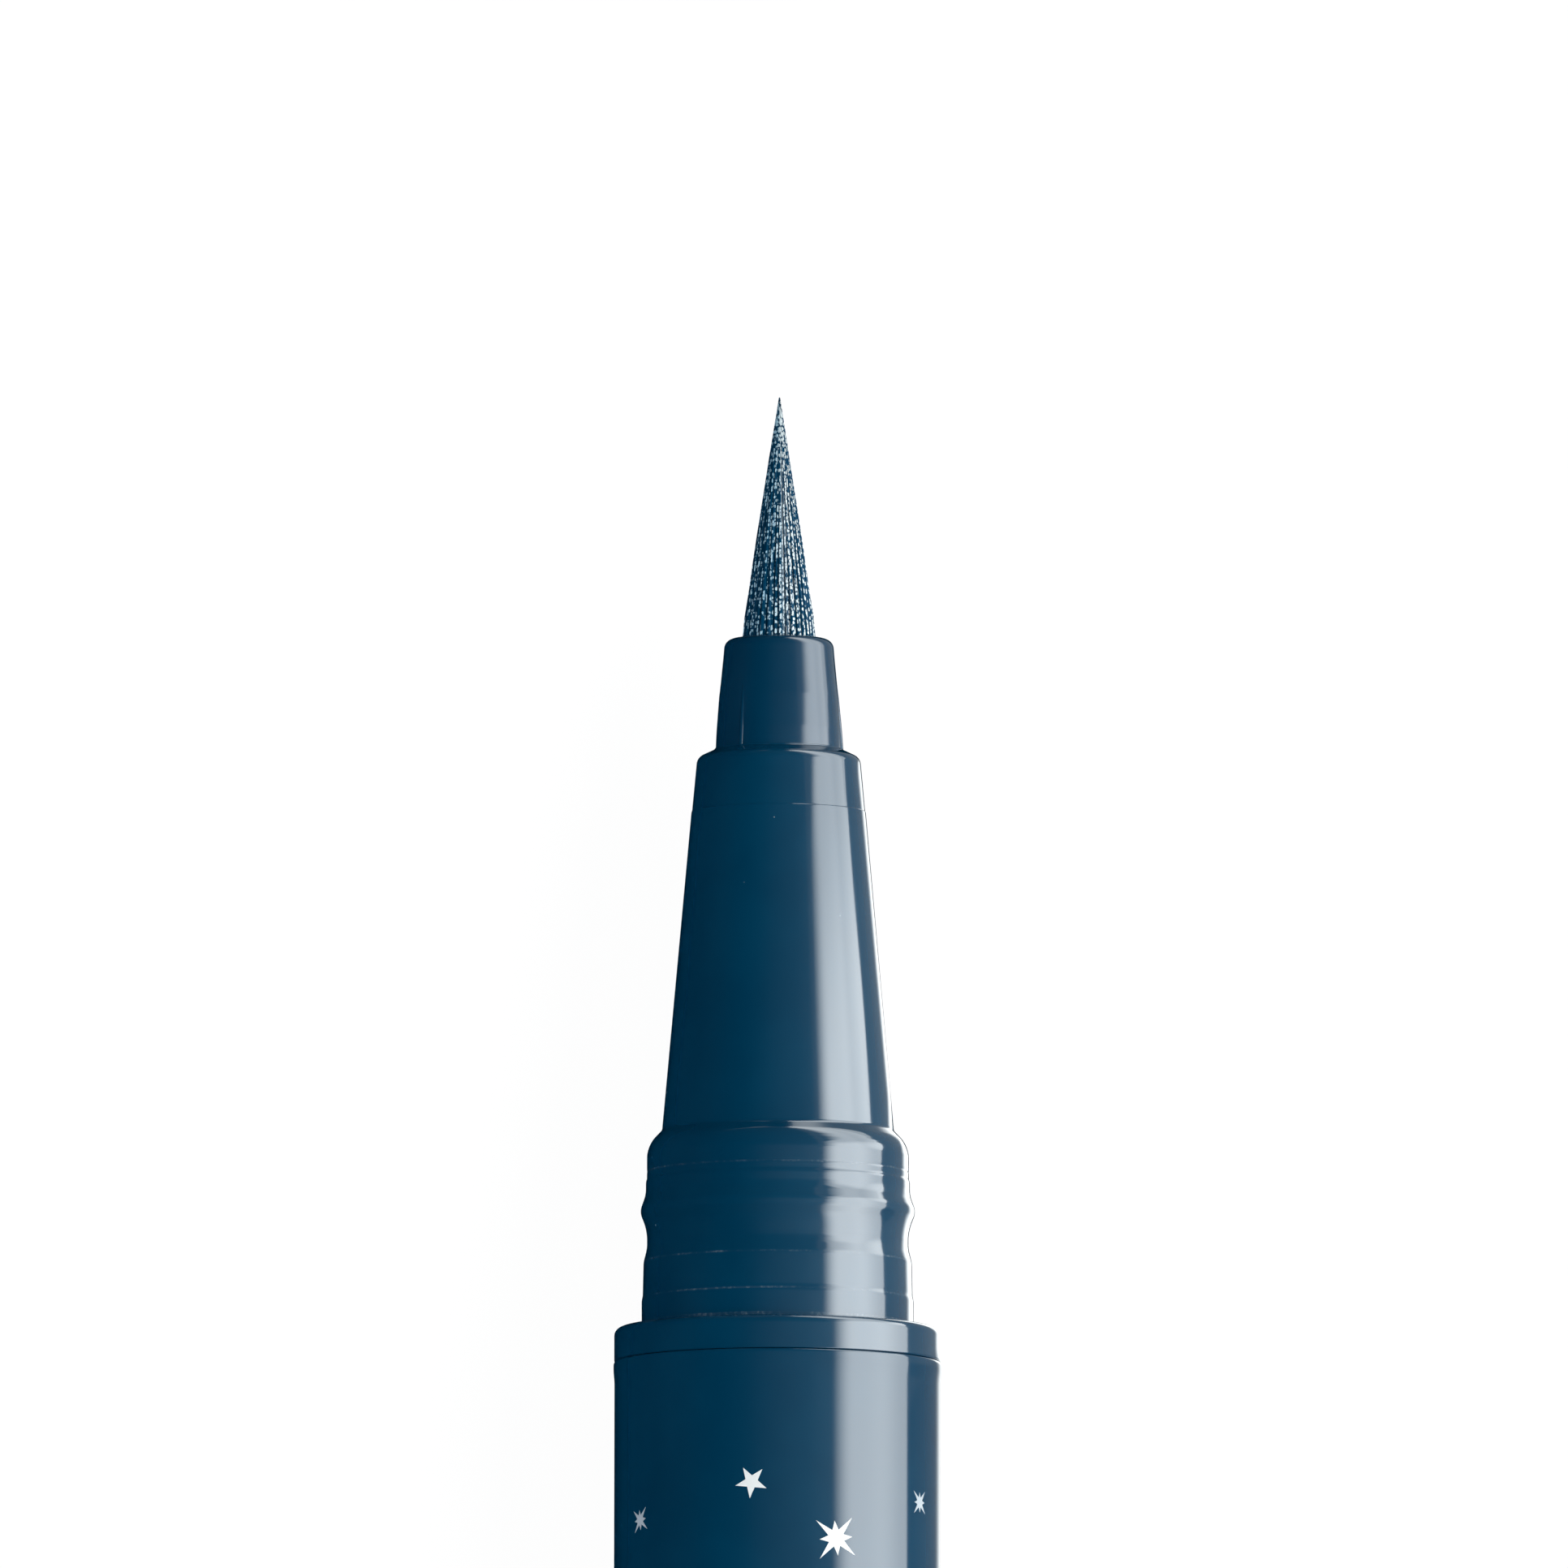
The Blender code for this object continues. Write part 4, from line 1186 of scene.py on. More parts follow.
@dataclass
class Workshop:
    """What every sub-assembly needs: the stations, the lathe, the finishes and the dresser."""

    stations: Stations
    lathe: Lathe
    finishes: Finishes
    dresser: Dresser

    def print_stars(self, name: str, radius: float, marks: Sequence[Print], body: str, slot: str) -> None:
        """Print motifs on a tube.

        Args:
            name: The print's name.
            radius: Outer radius of the tube.
            marks: The motifs.
            body: The body that the tube rides on.
            slot: The record's material slot of the tube; not used.
        """
        film = StarPrint(self.lathe, radius).build(marks)
        self.dresser.piece(name, film, [self.finishes.star_ink, self.finishes.spark_ink], body, slot)


@dataclass(frozen=True)
class Plug:
    """End plug of a tube: a rounded head and a hollow spigot.

    Attributes:
        radius: Radius of the head, which is the tube's.
        spigot: Radius of the spigot.
        spigot_round: Rounding of the spigot's outer edge.
        head: Length of the head.
        wall: Wall of the spigot.
        face_round: Rounding of the outer face.
        edge_round: Rounding of every other edge.
    """

    radius: float
    spigot: float
    spigot_round: float
    head: float = 1.60 * MM
    wall: float = 0.90 * MM
    face_round: float = 0.45 * MM
    edge_round: float = 0.05 * MM

    def outline(self, face: float, spigot_end: float) -> list[Corner]:
        """Give the plug's outline, from the axis round to the axis.

        Args:
            face: Place of its outer face, in world X.
            spigot_end: Place of its inner end.

        Returns:
            The corners.
        """
        shoulder = face + math.copysign(self.head, spigot_end - face)
        inner = self.spigot - self.wall
        return [
            Corner(0.0, shoulder),
            Corner(inner, shoulder, self.edge_round),
            Corner(inner, spigot_end, self.edge_round),
            Corner(self.spigot, spigot_end, self.spigot_round),
            Corner(self.spigot, shoulder),
            Corner(self.radius, shoulder, self.edge_round),
            Corner(self.radius, face, self.face_round),
            Corner(0.0, face),
        ]


@dataclass
class Barrel:
    """Barrel tube with its rim, tail plug and star print.

    Attributes:
        rim_radius: Radius of the flared rim.
        rim_flare_length: Distance below the rim where the flare starts.
        rim_bead: Length of the rim's straight bead.
        print_margin: Bare length between the tail plug and the scattered print.
        print_start: Distance below the rim where the scattered print starts.
        placed: The motifs under the rim: which, angle from straight up towards -Y in degrees,
            distance below the rim in mm and turn in degrees.
    """

    shop: Workshop
    radius: float = 5.39 * MM
    bore: float = 4.50 * MM
    rim_radius: float = 5.4225 * MM
    rim_flare_length: float = 0.62 * MM
    rim_bead: float = 0.32 * MM
    rim_round: float = 0.17 * MM
    end_round: float = 0.05 * MM
    tail_plug: Plug = Plug(5.39 * MM, spigot=4.42 * MM, spigot_round=0.10 * MM)
    print_margin: float = 3.0 * MM
    print_start: float = 10.8 * MM
    print_seed: int = 7
    placed: tuple[tuple[Motif, float, float, float], ...] = (
        (Motif.STAR, -9.1, 4.44, 41.4),
        (Motif.BURST, 21.2, 6.27, 39.0),
        (Motif.SPARK, -57.0, 5.50, 38.0),
        (Motif.SPARK, 60.7, 4.87, 44.0),
        (Motif.STAR, 118.0, 6.60, 10.0),
        (Motif.BURST, 164.0, 4.40, 20.0),
        (Motif.SPARK, -154.0, 7.10, 65.0),
        (Motif.STAR, -108.0, 4.10, 30.0),
    )

    def tube(self) -> bmesh.types.BMesh:
        """Turn the tube with its rounded, slightly flared rim.

        Returns:
            The tube's shape.
        """
        start = self.shop.stations.barrel_start
        rim = self.shop.stations.barrel_rim
        return self.shop.lathe.turn([
            Corner(self.bore, rim, self.end_round),
            Corner(self.rim_radius, rim, 0.6 * self.rim_round),
            Corner(self.rim_radius, rim - self.rim_bead, 0.4 * self.rim_round),
            Corner(self.radius, rim - self.rim_flare_length, self.rim_round),
            Corner(self.radius, start, self.end_round),
            Corner(self.bore, start, self.end_round),
        ])

    def marks(self) -> list[Print]:
        """Place the printed motifs: those under the rim one by one, the rest scattered.

        Returns:
            The motifs.
        """
        start, rim = self.shop.stations.barrel_start, self.shop.stations.barrel_rim
        marks = [
            Print(motif, math.radians(around), rim - down * MM, math.radians(turn))
            for motif, around, down, turn in self.placed
        ]
        scatter = StarPrint(self.shop.lathe, self.radius).scatter(
            start + self.print_margin, rim - self.print_start, self.print_seed
        )
        return marks + list(scatter)

    def build(self) -> None:
        """Make and dress the barrel, its plug and its print."""
        shop, gloss = self.shop, [self.shop.finishes.gloss]
        plug = shop.lathe.turn(self.tail_plug.outline(shop.stations.tail_face, shop.stations.tail_spigot_end))
        shop.dresser.piece("barrel_tube", self.tube(), gloss, "pen", "barrel_plastic", ["barrel"])
        shop.dresser.piece("barrel_tail_plug", plug, gloss, "pen", "barrel_plastic", ["tail_plug"])
        shop.print_stars("barrel_star_print", self.radius, self.marks(), "pen", "barrel_plastic")


@dataclass
class FrontSection:
    """Collar, neck with its snap bead, cone and the skirt inside the barrel, as one moulding.

    Attributes:
        seam: Gap between the collar and the barrel's rim.
        nose_bead: Half the width of the raised bead round the holder's foot.
        nose_step: Height of the step in the cone's side.
        nose_step_depth: Distance of that step below the cone's top.
        groove_width: Width of the seal ring's groove.
        groove_depth_share: Place of the groove, as a share of the skirt's length.
        neck_outline: Down the neck, in mm: distance below its top, radius and rounding.
    """

    shop: Workshop
    seam: float = 0.004 * MM
    collar_radius: float = 5.40 * MM
    collar_height: float = 1.13 * MM
    collar_round: float = 0.25 * MM
    collar_foot_round: float = 0.05 * MM
    neck_top_height: float = 7.70 * MM
    neck_foot_radius: float = 4.495 * MM
    cone_base_radius: float = 3.835 * MM
    cone_tip_radius: float = 2.70 * MM
    cone_tip_round: float = 0.17 * MM
    cone_tip_drop: float = 0.28 * MM
    nose_inner_radius: float = 2.10 * MM
    nose_bead: float = 0.03 * MM
    nose_step: float = 0.02 * MM
    nose_step_depth: float = 2.08 * MM
    crease_round: float = 0.05 * MM
    skirt_radius: float = 4.42 * MM
    skirt_bore: float = 3.42 * MM
    groove_radius: float = 4.08 * MM
    groove_width: float = 0.76 * MM
    groove_depth_share: float = 0.60
    cone_wall: float = 0.95 * MM
    bore_taper: float = 2.60 * MM
    seat_radius: float = 1.77 * MM

    neck_outline: tuple[tuple[float, float, float], ...] = (
        (0.52, 4.330, 0.36),
        (1.32, 4.330, 0.03),
        (1.37, 4.318, 0.02),
        (1.42, 4.330, 0.03),
        (1.62, 4.332, 0.04),
        (1.71, 4.364, 0.05),
        (2.14, 4.368, 0.16),
        (2.70, 4.566, 0.17),
        (3.14, 4.392, 0.12),
        (3.48, 4.322, 0.15),
        (3.92, 4.322, 0.15),
        (4.38, 4.437, 0.07),
        (5.50, 4.462, 0.05),
        (5.66, 4.497, 0.06),
    )

    @property
    def collar_top(self) -> float:
        """Give the place of the collar's front face."""
        return self.shop.stations.barrel_rim + self.collar_height

    @property
    def neck_top(self) -> float:
        """Give the place where the cone leaves the neck."""
        return self.shop.stations.barrel_rim + self.neck_top_height

    def cone_radius(self, along: float) -> float:
        """Give the cone's radius at a place along the pen.

        Args:
            along: The place, in world X.

        Returns:
            The radius.
        """
        share = (along - self.neck_top) / (self.shop.stations.cone_top - self.neck_top)
        return self.cone_base_radius + share * (self.cone_tip_radius - self.cone_base_radius)

    def _nose(self) -> list[Corner]:
        """Give the outline from the holder's seat down the cone to the neck.

        Returns:
            The corners.
        """
        top = self.shop.stations.cone_top
        step = top - self.nose_step_depth
        bead = self.nose_bead
        return [
            Corner(self.nose_inner_radius - bead, top + bead, 0.4 * bead),
            Corner(self.nose_inner_radius + bead, top + bead, 0.8 * bead),
            Corner(self.nose_inner_radius + 1.5 * bead, top - 0.6 * bead, 0.5 * bead),
            Corner(self.cone_tip_radius, top - self.cone_tip_drop, self.cone_tip_round),
            Corner(self.cone_radius(step) - self.nose_step, step + self.nose_step, 0.2 * self.nose_step),
            Corner(self.cone_radius(step), step, 0.2 * self.nose_step),
            Corner(self.cone_base_radius, self.neck_top, 1.2 * self.crease_round),
        ]

    def _neck(self) -> list[Corner]:
        """Give the outline of the neck and the collar.

        Returns:
            The corners.
        """
        foot = self.shop.stations.barrel_rim + self.seam
        return [
            *(Corner(radius * MM, self.neck_top - down * MM, rounding * MM)
              for down, radius, rounding in self.neck_outline),
            Corner(self.neck_foot_radius, self.collar_top, 0.6 * self.crease_round),
            Corner(self.collar_radius, self.collar_top, self.collar_round),
            Corner(self.collar_radius, foot, self.collar_foot_round),
        ]

    def _skirt(self) -> list[Corner]:
        """Give the outline of the skirt with its ring groove, and of the bore back to the nose.

        Returns:
            The corners.
        """
        stations = self.shop.stations
        foot = stations.barrel_rim + self.seam
        middle = stations.barrel_rim - self.groove_depth_share * (stations.barrel_rim - stations.skirt_end)
        half = 0.5 * self.groove_width
        return [
            Corner(self.skirt_radius, foot),
            Corner(self.skirt_radius, middle + half),
            Corner(self.groove_radius, middle + half),
            Corner(self.groove_radius, middle - half),
            Corner(self.skirt_radius, middle - half),
            Corner(self.skirt_radius, stations.skirt_end, self.crease_round),
            Corner(self.skirt_bore, stations.skirt_end, self.crease_round),
            Corner(self.skirt_bore, self.neck_top - self.bore_taper),
            Corner(self.cone_base_radius - self.cone_wall, self.neck_top),
            Corner(self.seat_radius, stations.holder_end - self.seam),
            Corner(self.seat_radius, stations.cone_top, 0.5 * self.crease_round),
        ]

    def build(self) -> None:
        """Make and dress the moulding."""
        shape = self.shop.lathe.turn(self._nose() + self._neck() + self._skirt())
        finish = self.shop.finishes.moulding
        self.shop.dresser.piece("front_moulding", shape, [finish], "pen", "front_plastic", ["front_section"])


@dataclass
class NibHolder:
    """Short tapered holder with three soft ribs, seated on the cone.

    Attributes:
        rim_drop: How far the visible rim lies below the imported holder's front.
        rib_drop: How far below the front the ribs rise out of the side.
        rib_radius: Radius of the half-buried rod that makes a rib.
        rib_rise: How far a rib stands proud at the base.
        rib_angles: Places of the ribs round the holder, in degrees from straight up towards -Y.
        outline_shares: Down the holder, share of its height and share of its widening.
    """

    shop: Workshop
    seam: float = -0.004 * MM
    rim_drop: float = 0.10 * MM
    tip_radius: float = 1.79 * MM
    base_radius: float = 2.09 * MM
    edge_round: float = 0.29 * MM
    inner_round: float = 0.06 * MM
    bore: float = 1.25 * MM
    counterbore: float = 1.47 * MM
    flange_height: float = 0.65 * MM
    spigot_radius: float = 1.72 * MM
    rib_drop: float = 1.45 * MM
    rib_radius: float = 0.08 * MM
    rib_rise: float = 0.065 * MM
    rib_rings: int = 8
    rib_sides: int = 14
    rib_angles: tuple[float, ...] = (-37.0, 83.0, 203.0)
    outline_shares: tuple[tuple[float, float], ...] = (
        (0.0, 0.0), (0.19, 0.17), (0.40, 0.43), (0.54, 0.63), (0.69, 0.77), (0.83, 0.90), (1.0, 1.0)
    )

    @property
    def base(self) -> float:
        """Give the place of the holder's foot on the cone."""
        return self.shop.stations.cone_top + self.seam

    def side_radius(self, share: float) -> float:
        """Give the radius of the tapered side.

        Args:
            share: Share of the holder's height, down from its front.

        Returns:
            The radius.
        """
        pairs = zip(self.outline_shares, self.outline_shares[1:])
        (upper, upper_spread), (lower, lower_spread) = next(pair for pair in pairs if share <= pair[1][0])
        widening = upper_spread + (share - upper) / (lower - upper) * (lower_spread - upper_spread)
        return self.tip_radius + (self.base_radius - self.tip_radius) * widening

    def _outline(self) -> list[Corner]:
        """Give the holder's outline.

        Returns:
            The corners.
        """
        stations = self.shop.stations
        top = stations.holder_top
        height = top - self.base
        step = stations.root_end + self.flange_height
        return [
            Corner(self.bore, top - self.rim_drop, self.inner_round),
            Corner(self.tip_radius, top - self.rim_drop, self.edge_round),
            *(Corner(self.side_radius(share), top - height * share)
              for share, _ in self.outline_shares[1:-1]),
            Corner(self.base_radius, self.base, 0.5 * self.inner_round),
            Corner(self.spigot_radius, self.base),
            Corner(self.spigot_radius, stations.holder_end, self.inner_round),
            Corner(self.counterbore, stations.holder_end),
            Corner(self.counterbore, step),
            Corner(self.bore, step),
        ]

    def _rib_section(self, index: int, ring: int) -> tuple[Vector, float]:
        """Place one ring of one rib.

        Args:
            index: The rib.
            ring: The ring, from the base forwards.

        Returns:
            The ring's centre and radius.
        """
        top = self.shop.stations.holder_top
        start = top - self.rib_drop
        share = ring / self.rib_rings
        along = self.base + share * (start - self.base)
        side = self.side_radius((top - along) / (top - self.base))
        reach = side - self.rib_radius + self.rib_rise * (1.0 - share)
        return self.shop.lathe.wrap(math.radians(self.rib_angles[index]), along, reach), self.rib_radius

    def build(self) -> None:
        """Make and dress the holder."""
        shape = self.shop.lathe.turn(self._outline())
        self.shop.lathe.grow(shape, len(self.rib_angles), self.rib_rings, self.rib_sides, self._rib_section)
        finish = self.shop.finishes.holder
        self.shop.dresser.piece("holder_moulding", shape, [finish], "pen", "front_plastic", ["nib_holder"])


@dataclass
class Brush:
    """Filaments drawn to a point, and the fused root that holds them.

    Attributes:
        base_radius: Radius of the brush where it leaves the holder.
        recess: Depth of the root's top below the holder's front.
        fullness: How much the drawn-out cone bulges.
        tip_radius: Radius at the very tip.
        count: Number of filaments.
        packing: Share of the brush's section that the filaments fill.
        rings: Rings of points along one filament.
        sides: Sides of a filament.
        stray: Largest shift of a filament off its line.
        shortfall: How far an outer filament may end below the tip.
        overreach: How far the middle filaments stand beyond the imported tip.
        crowding: How the rings crowd towards the tip, where 1 is even.
        end_share: Radius of a filament's last ring, as a share of its own.
        seed: Seed of the filaments' differences.
    """

    shop: Workshop
    base_radius: float = 1.26 * MM
    root_radius: float = 1.20 * MM
    flange_radius: float = 1.42 * MM
    flange_height: float = 0.60 * MM
    socket_radius: float = 0.60 * MM
    socket_depth: float = 2.00 * MM
    recess: float = 0.15 * MM
    fullness: float = 0.07
    tip_radius: float = 0.028 * MM
    count: int = 300
    packing: float = 0.98
    rings: int = 9
    sides: int = 6
    stray: float = 0.018 * MM
    shortfall: float = 0.8 * MM
    overreach: float = 0.06 * MM
    crowding: float = 1.15
    end_share: float = 0.9
    root_round: float = 0.10 * MM
    flange_round: float = 0.05 * MM
    seed: int = 11

    def envelope(self, below_tip: float) -> float:
        """Give the brush's radius at a distance below its tip.

        Args:
            below_tip: The distance.

        Returns:
            The radius.
        """
        length = self.shop.stations.brush_tip - self.shop.stations.holder_top
        share = max(0.0, min(1.0, below_tip / length))
        bulged = share * (1.0 + self.fullness * (1.0 - share))
        return self.tip_radius + (self.base_radius - self.tip_radius) * bulged

    def _section(self, index: int, ring: int, generator: random.Random) -> tuple[Vector, float]:
        """Place one ring of one filament.

        Args:
            index: The filament, from the brush's middle outwards.
            ring: The ring, from the root.
            generator: Source of the small differences.

        Returns:
            The ring's centre and radius.
        """
        stations = self.shop.stations
        out_share = math.sqrt((index + 0.5) / self.count)
        golden = math.pi * (3.0 - math.sqrt(5.0))
        shortfall = self.shortfall * out_share * math.fmod(index * golden, 1.0) ** 2
        top = stations.brush_tip + self.overreach - shortfall
        start = stations.holder_top - 2.0 * self.recess
        share = ring / self.rings
        along = start + (top - start) * (1.0 - (1.0 - share) ** self.crowding)
        envelope = self.envelope(stations.brush_tip - along)
        thickness = envelope * math.sqrt(self.packing / self.count)
        if ring == self.rings:
            thickness *= self.end_share
        reach = out_share * (envelope - thickness)
        slack = 0.0 if ring == 0 else self.stray * envelope / self.base_radius
        angle = index * golden
        centre = self.shop.lathe.wrap(angle, along, reach)
        shift = Vector((0.0, generator.uniform(-slack, slack), generator.uniform(-slack, slack)))
        return centre + shift, thickness

    def filaments(self) -> bmesh.types.BMesh:
        """Grow all filaments from the root to their tips.

        Returns:
            The filaments' shape.
        """
        generator = random.Random(self.seed)
        shape = bmesh.new()
        self.shop.lathe.grow(
            shape,
            self.count,
            self.rings,
            self.sides,
            lambda index, ring: self._section(index, ring, generator),
        )
        return shape

    def root(self) -> bmesh.types.BMesh:
        """Turn the fused root with its flange and the core's socket.

        Returns:
            The root's shape.
        """
        stations = self.shop.stations
        end = stations.root_end
        top = stations.holder_top - self.recess
        flange_top = end + self.flange_height
        return self.shop.lathe.turn([
            Corner(0.0, top),
            Corner(self.root_radius, top, self.root_round),
            Corner(self.root_radius, flange_top),
            Corner(self.flange_radius, flange_top, self.flange_round),
            Corner(self.flange_radius, end, self.flange_round),
            Corner(self.socket_radius, end),
            Corner(self.socket_radius, end + self.socket_depth),
            Corner(0.0, end + self.socket_depth),
        ])

    def build(self) -> None:
        """Make and dress the filaments and their root."""
        dresser, finish = self.shop.dresser, [self.shop.finishes.filament]
        dresser.piece("brush_filaments", self.filaments(), finish, "pen", "filaments", ["brush_tip"])
        dresser.piece("brush_root", self.root(), finish, "pen", "filaments", ["brush_tip"])


@dataclass
class InkPath:
    """Core, pipe, collector, tank, rings and mixing ball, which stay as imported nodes."""

    shop: Workshop

    def build(self) -> None:
        """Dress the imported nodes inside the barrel."""
        finishes = self.shop.finishes
        dressed = {
            "relay_core": finishes.felt,
            "relay_pipe": finishes.natural,
            "ink_collector": finishes.white,
            "ink_tank": finishes.natural,
            "tank_seal_ring": finishes.rubber,
            "barrel_seal_ring": finishes.rubber,
            "mixing_ball": finishes.steel,
        }
        for name, material in dressed.items():
            self.shop.dresser.node(name, material)


@dataclass
class Cap:
    """Cap tube with its star print, end plug, liner, sprung inner cap and the spring.

    Attributes:
        snap_groove_places: Corners of the groove for the neck's bead, in mm behind the mouth.
        liner_stop_rise: Height of the ring that stops the liner.
        seam: Gap between that ring and the liner.
        inner_mouth: Bore of the inner cap at its mouth.
        inner_end: Its bore at the floor.
        travel: How far the inner cap slides.
        print_margin: Bare length at both ends of the print.
    """

    shop: Workshop
    radius: float = 5.39 * MM
    bore: float = 4.56 * MM
    mouth_round: float = 0.16 * MM
    end_round: float = 0.05 * MM
    snap_groove_depth: float = 0.08 * MM
    snap_groove_places: tuple[float, ...] = (1.905, 2.413, 2.794, 3.556)
    liner_stop_rise: float = 0.12 * MM
    liner_stop_height: float = 0.75 * MM
    seam: float = 0.05 * MM
    end_plug: Plug = Plug(5.39 * MM, spigot=4.48 * MM, spigot_round=0.05 * MM)
    liner_radius: float = 4.48 * MM
    liner_wall: float = 0.40 * MM
    liner_lip_radius: float = 3.64 * MM
    liner_lip_height: float = 0.80 * MM
    inner_mouth: float = 3.357 * MM
    inner_end: float = 3.107 * MM
    inner_wall: float = 0.50 * MM
    inner_floor: float = 0.80 * MM
    inner_flange_radius: float = 4.00 * MM
    inner_flange_height: float = 0.80 * MM
    spring_radius: float = 2.70 * MM
    wire_radius: float = 0.22 * MM
    spring_turns: int = 6
    spring_steps: int = 36
    wire_steps: int = 14
    travel: float = 1.50 * MM
    print_margin: float = 3.2 * MM
    print_seed: int = 23

    def tube(self) -> bmesh.types.BMesh:
        """Turn the cap's tube with its rounded mouth, snap groove and liner stop.

        Returns:
            The tube's shape.
        """
        mouth, end = self.shop.stations.cap_mouth, self.shop.stations.cap_shell_end
        first, second, third, last = [mouth + place * MM for place in self.snap_groove_places]
        groove = self.bore + self.snap_groove_depth
        stop = self.bore - self.liner_stop_rise
        stop_end = self.shop.stations.liner_front - self.seam
        stop_start = stop_end - self.liner_stop_height
        soft = 2.0 * self.end_round
        return self.shop.lathe.turn([
            Corner(self.bore, end, self.end_round),
            Corner(self.radius, end, self.end_round),
            Corner(self.radius, mouth, self.mouth_round),
            Corner(self.bore, mouth, self.mouth_round),
            Corner(self.bore, first, soft),
            Corner(groove, second, soft),
            Corner(groove, third, soft),
            Corner(self.bore, last, soft),
            Corner(self.bore, stop_start - self.liner_stop_rise),
            Corner(stop, stop_start),
            Corner(stop, stop_end),
            Corner(self.bore, stop_end),
        ])

    def liner(self) -> bmesh.types.BMesh:
        """Turn the liner with the lip that keeps the inner cap in.

        Returns:
            The liner's shape.
        """
        front, end = self.shop.stations.liner_front, self.shop.stations.liner_end
        lip_end = front + self.liner_lip_height
        inside = self.liner_radius - self.liner_wall
        return self.shop.lathe.turn([
            Corner(inside, end, self.end_round),
            Corner(self.liner_radius, end, self.end_round),
            Corner(self.liner_radius, front, self.end_round),
            Corner(self.liner_lip_radius, front, 3.0 * self.end_round),
            Corner(self.liner_lip_radius, lip_end, self.end_round),
            Corner(inside, lip_end, self.end_round),
        ])

    def inner_cup(self) -> bmesh.types.BMesh:
        """Turn the inner cap: a cup with a flange at its mouth.

        Returns:
            The inner cap's shape.
        """
        front, back = self.shop.stations.inner_cap_front, self.shop.stations.inner_cap_back
        flange_end = front + self.inner_flange_height
        inside_end = back - self.inner_floor
        return self.shop.lathe.turn([
            Corner(0.0, back),
            Corner(self.inner_end + self.inner_wall, back, self.inner_wall),
            Corner(self.inner_mouth + self.inner_wall, flange_end, self.end_round),
            Corner(self.inner_flange_radius, flange_end, 2.0 * self.end_round),
            Corner(self.inner_flange_radius, front, 2.0 * self.end_round),
            Corner(self.inner_mouth, front, 2.0 * self.end_round),
            Corner(self.inner_end, inside_end, 4.0 * self.end_round),
            Corner(0.0, inside_end),
        ])

    def spring(self) -> bmesh.types.BMesh:
        """Spin a wire's section into a coil between the inner cap and the end plug.

        Returns:
            The spring's shape.
        """
        stations, lathe = self.shop.stations, self.shop.lathe
        first = stations.spring_front + self.wire_radius
        rise = stations.spring_back - self.wire_radius - first
        steps = self.spring_turns * self.spring_steps
        shape = bmesh.new()
        start = lathe.centre + Vector((first, 0.0, self.spring_radius))
        section = Matrix.Translation(start) @ Matrix.Rotation(0.5 * math.pi, 4, "X")
        bmesh.ops.create_circle(
            shape, cap_ends=True, segments=self.wire_steps, radius=self.wire_radius, matrix=section
        )
        bmesh.ops.spin(
            shape,
            geom=shape.verts[:] + shape.edges[:] + shape.faces[:],
            cent=lathe.centre,
            axis=Vector((1.0, 0.0, 0.0)),
            dvec=Vector((rise / steps, 0.0, 0.0)),
            angle=2.0 * math.pi * self.spring_turns,
            steps=steps,
        )
        bmesh.ops.recalc_face_normals(shape, faces=shape.faces[:])
        return shape

    def build(self) -> None:
        """Make and dress the cap."""
        shop, stations = self.shop, self.shop.stations
        dresser, finishes = shop.dresser, shop.finishes
        plug = shop.lathe.turn(self.end_plug.outline(stations.cap_end, stations.cap_spigot_end))
        marks = StarPrint(shop.lathe, self.radius).scatter(
            stations.cap_mouth + self.print_margin,
            stations.cap_shell_end - self.print_margin,
            self.print_seed,
        )
        gloss, liner, cup, wire = [finishes.gloss], [finishes.liner], [finishes.natural], [finishes.steel]
        dresser.piece("cap_tube", self.tube(), gloss, "cap", "cap_plastic", ["cap_shell"])
        dresser.piece("cap_crown_plug", plug, gloss, "cap", "cap_plastic", ["cap_end_plug"])
        shop.print_stars("cap_star_print", self.radius, list(marks), "cap", "cap_plastic")
        dresser.piece("cap_guide_liner", self.liner(), liner, "cap", "liner_plastic", ["cap_liner"])
        dresser.piece("inner_cap_cup", self.inner_cup(), cup, "inner_cap", "natural_plastic", ["inner_cap"])
        coil = dresser.piece("inner_cap_coil", self.spring(), wire, "cap", "steel", ["inner_cap_spring"])
        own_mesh(coil)


# Studio


@dataclass(frozen=True)
class Lamp:
    """One soft square lamp that lights surfaces and shows in no reflection.

    Attributes:
        name: The lamp's name.
        away: Place of its centre, from the point that it faces.
        size: Its width.
        brightness: Light that it gives a surface facing it at the target, where 1 shows a
            colour as it is written.
        tint: Its colour.
    """

    name: str
    away: tuple[float, float, float]
    size: float
    brightness: float
    tint: Colour

    def build(self, target: Vector) -> None:
        """Make the lamp.

        Args:
            target: The point that it faces.
        """
        backwards = Vector(self.away)
        light = bpy.data.lights.new(self.name, "AREA")
        light.shape = "SQUARE"
        light.size = self.size
        light.color = self.tint
        light.energy = self.brightness * (math.pi * backwards.length) ** 2
        lamp = add_object(self.name, light)
        turn = backwards.to_track_quat("Z", "Y").to_matrix().to_4x4()
        lamp.matrix_world = Matrix.Translation(target + backwards) @ turn
        lamp.visible_camera = False
        lamp.visible_glossy = False


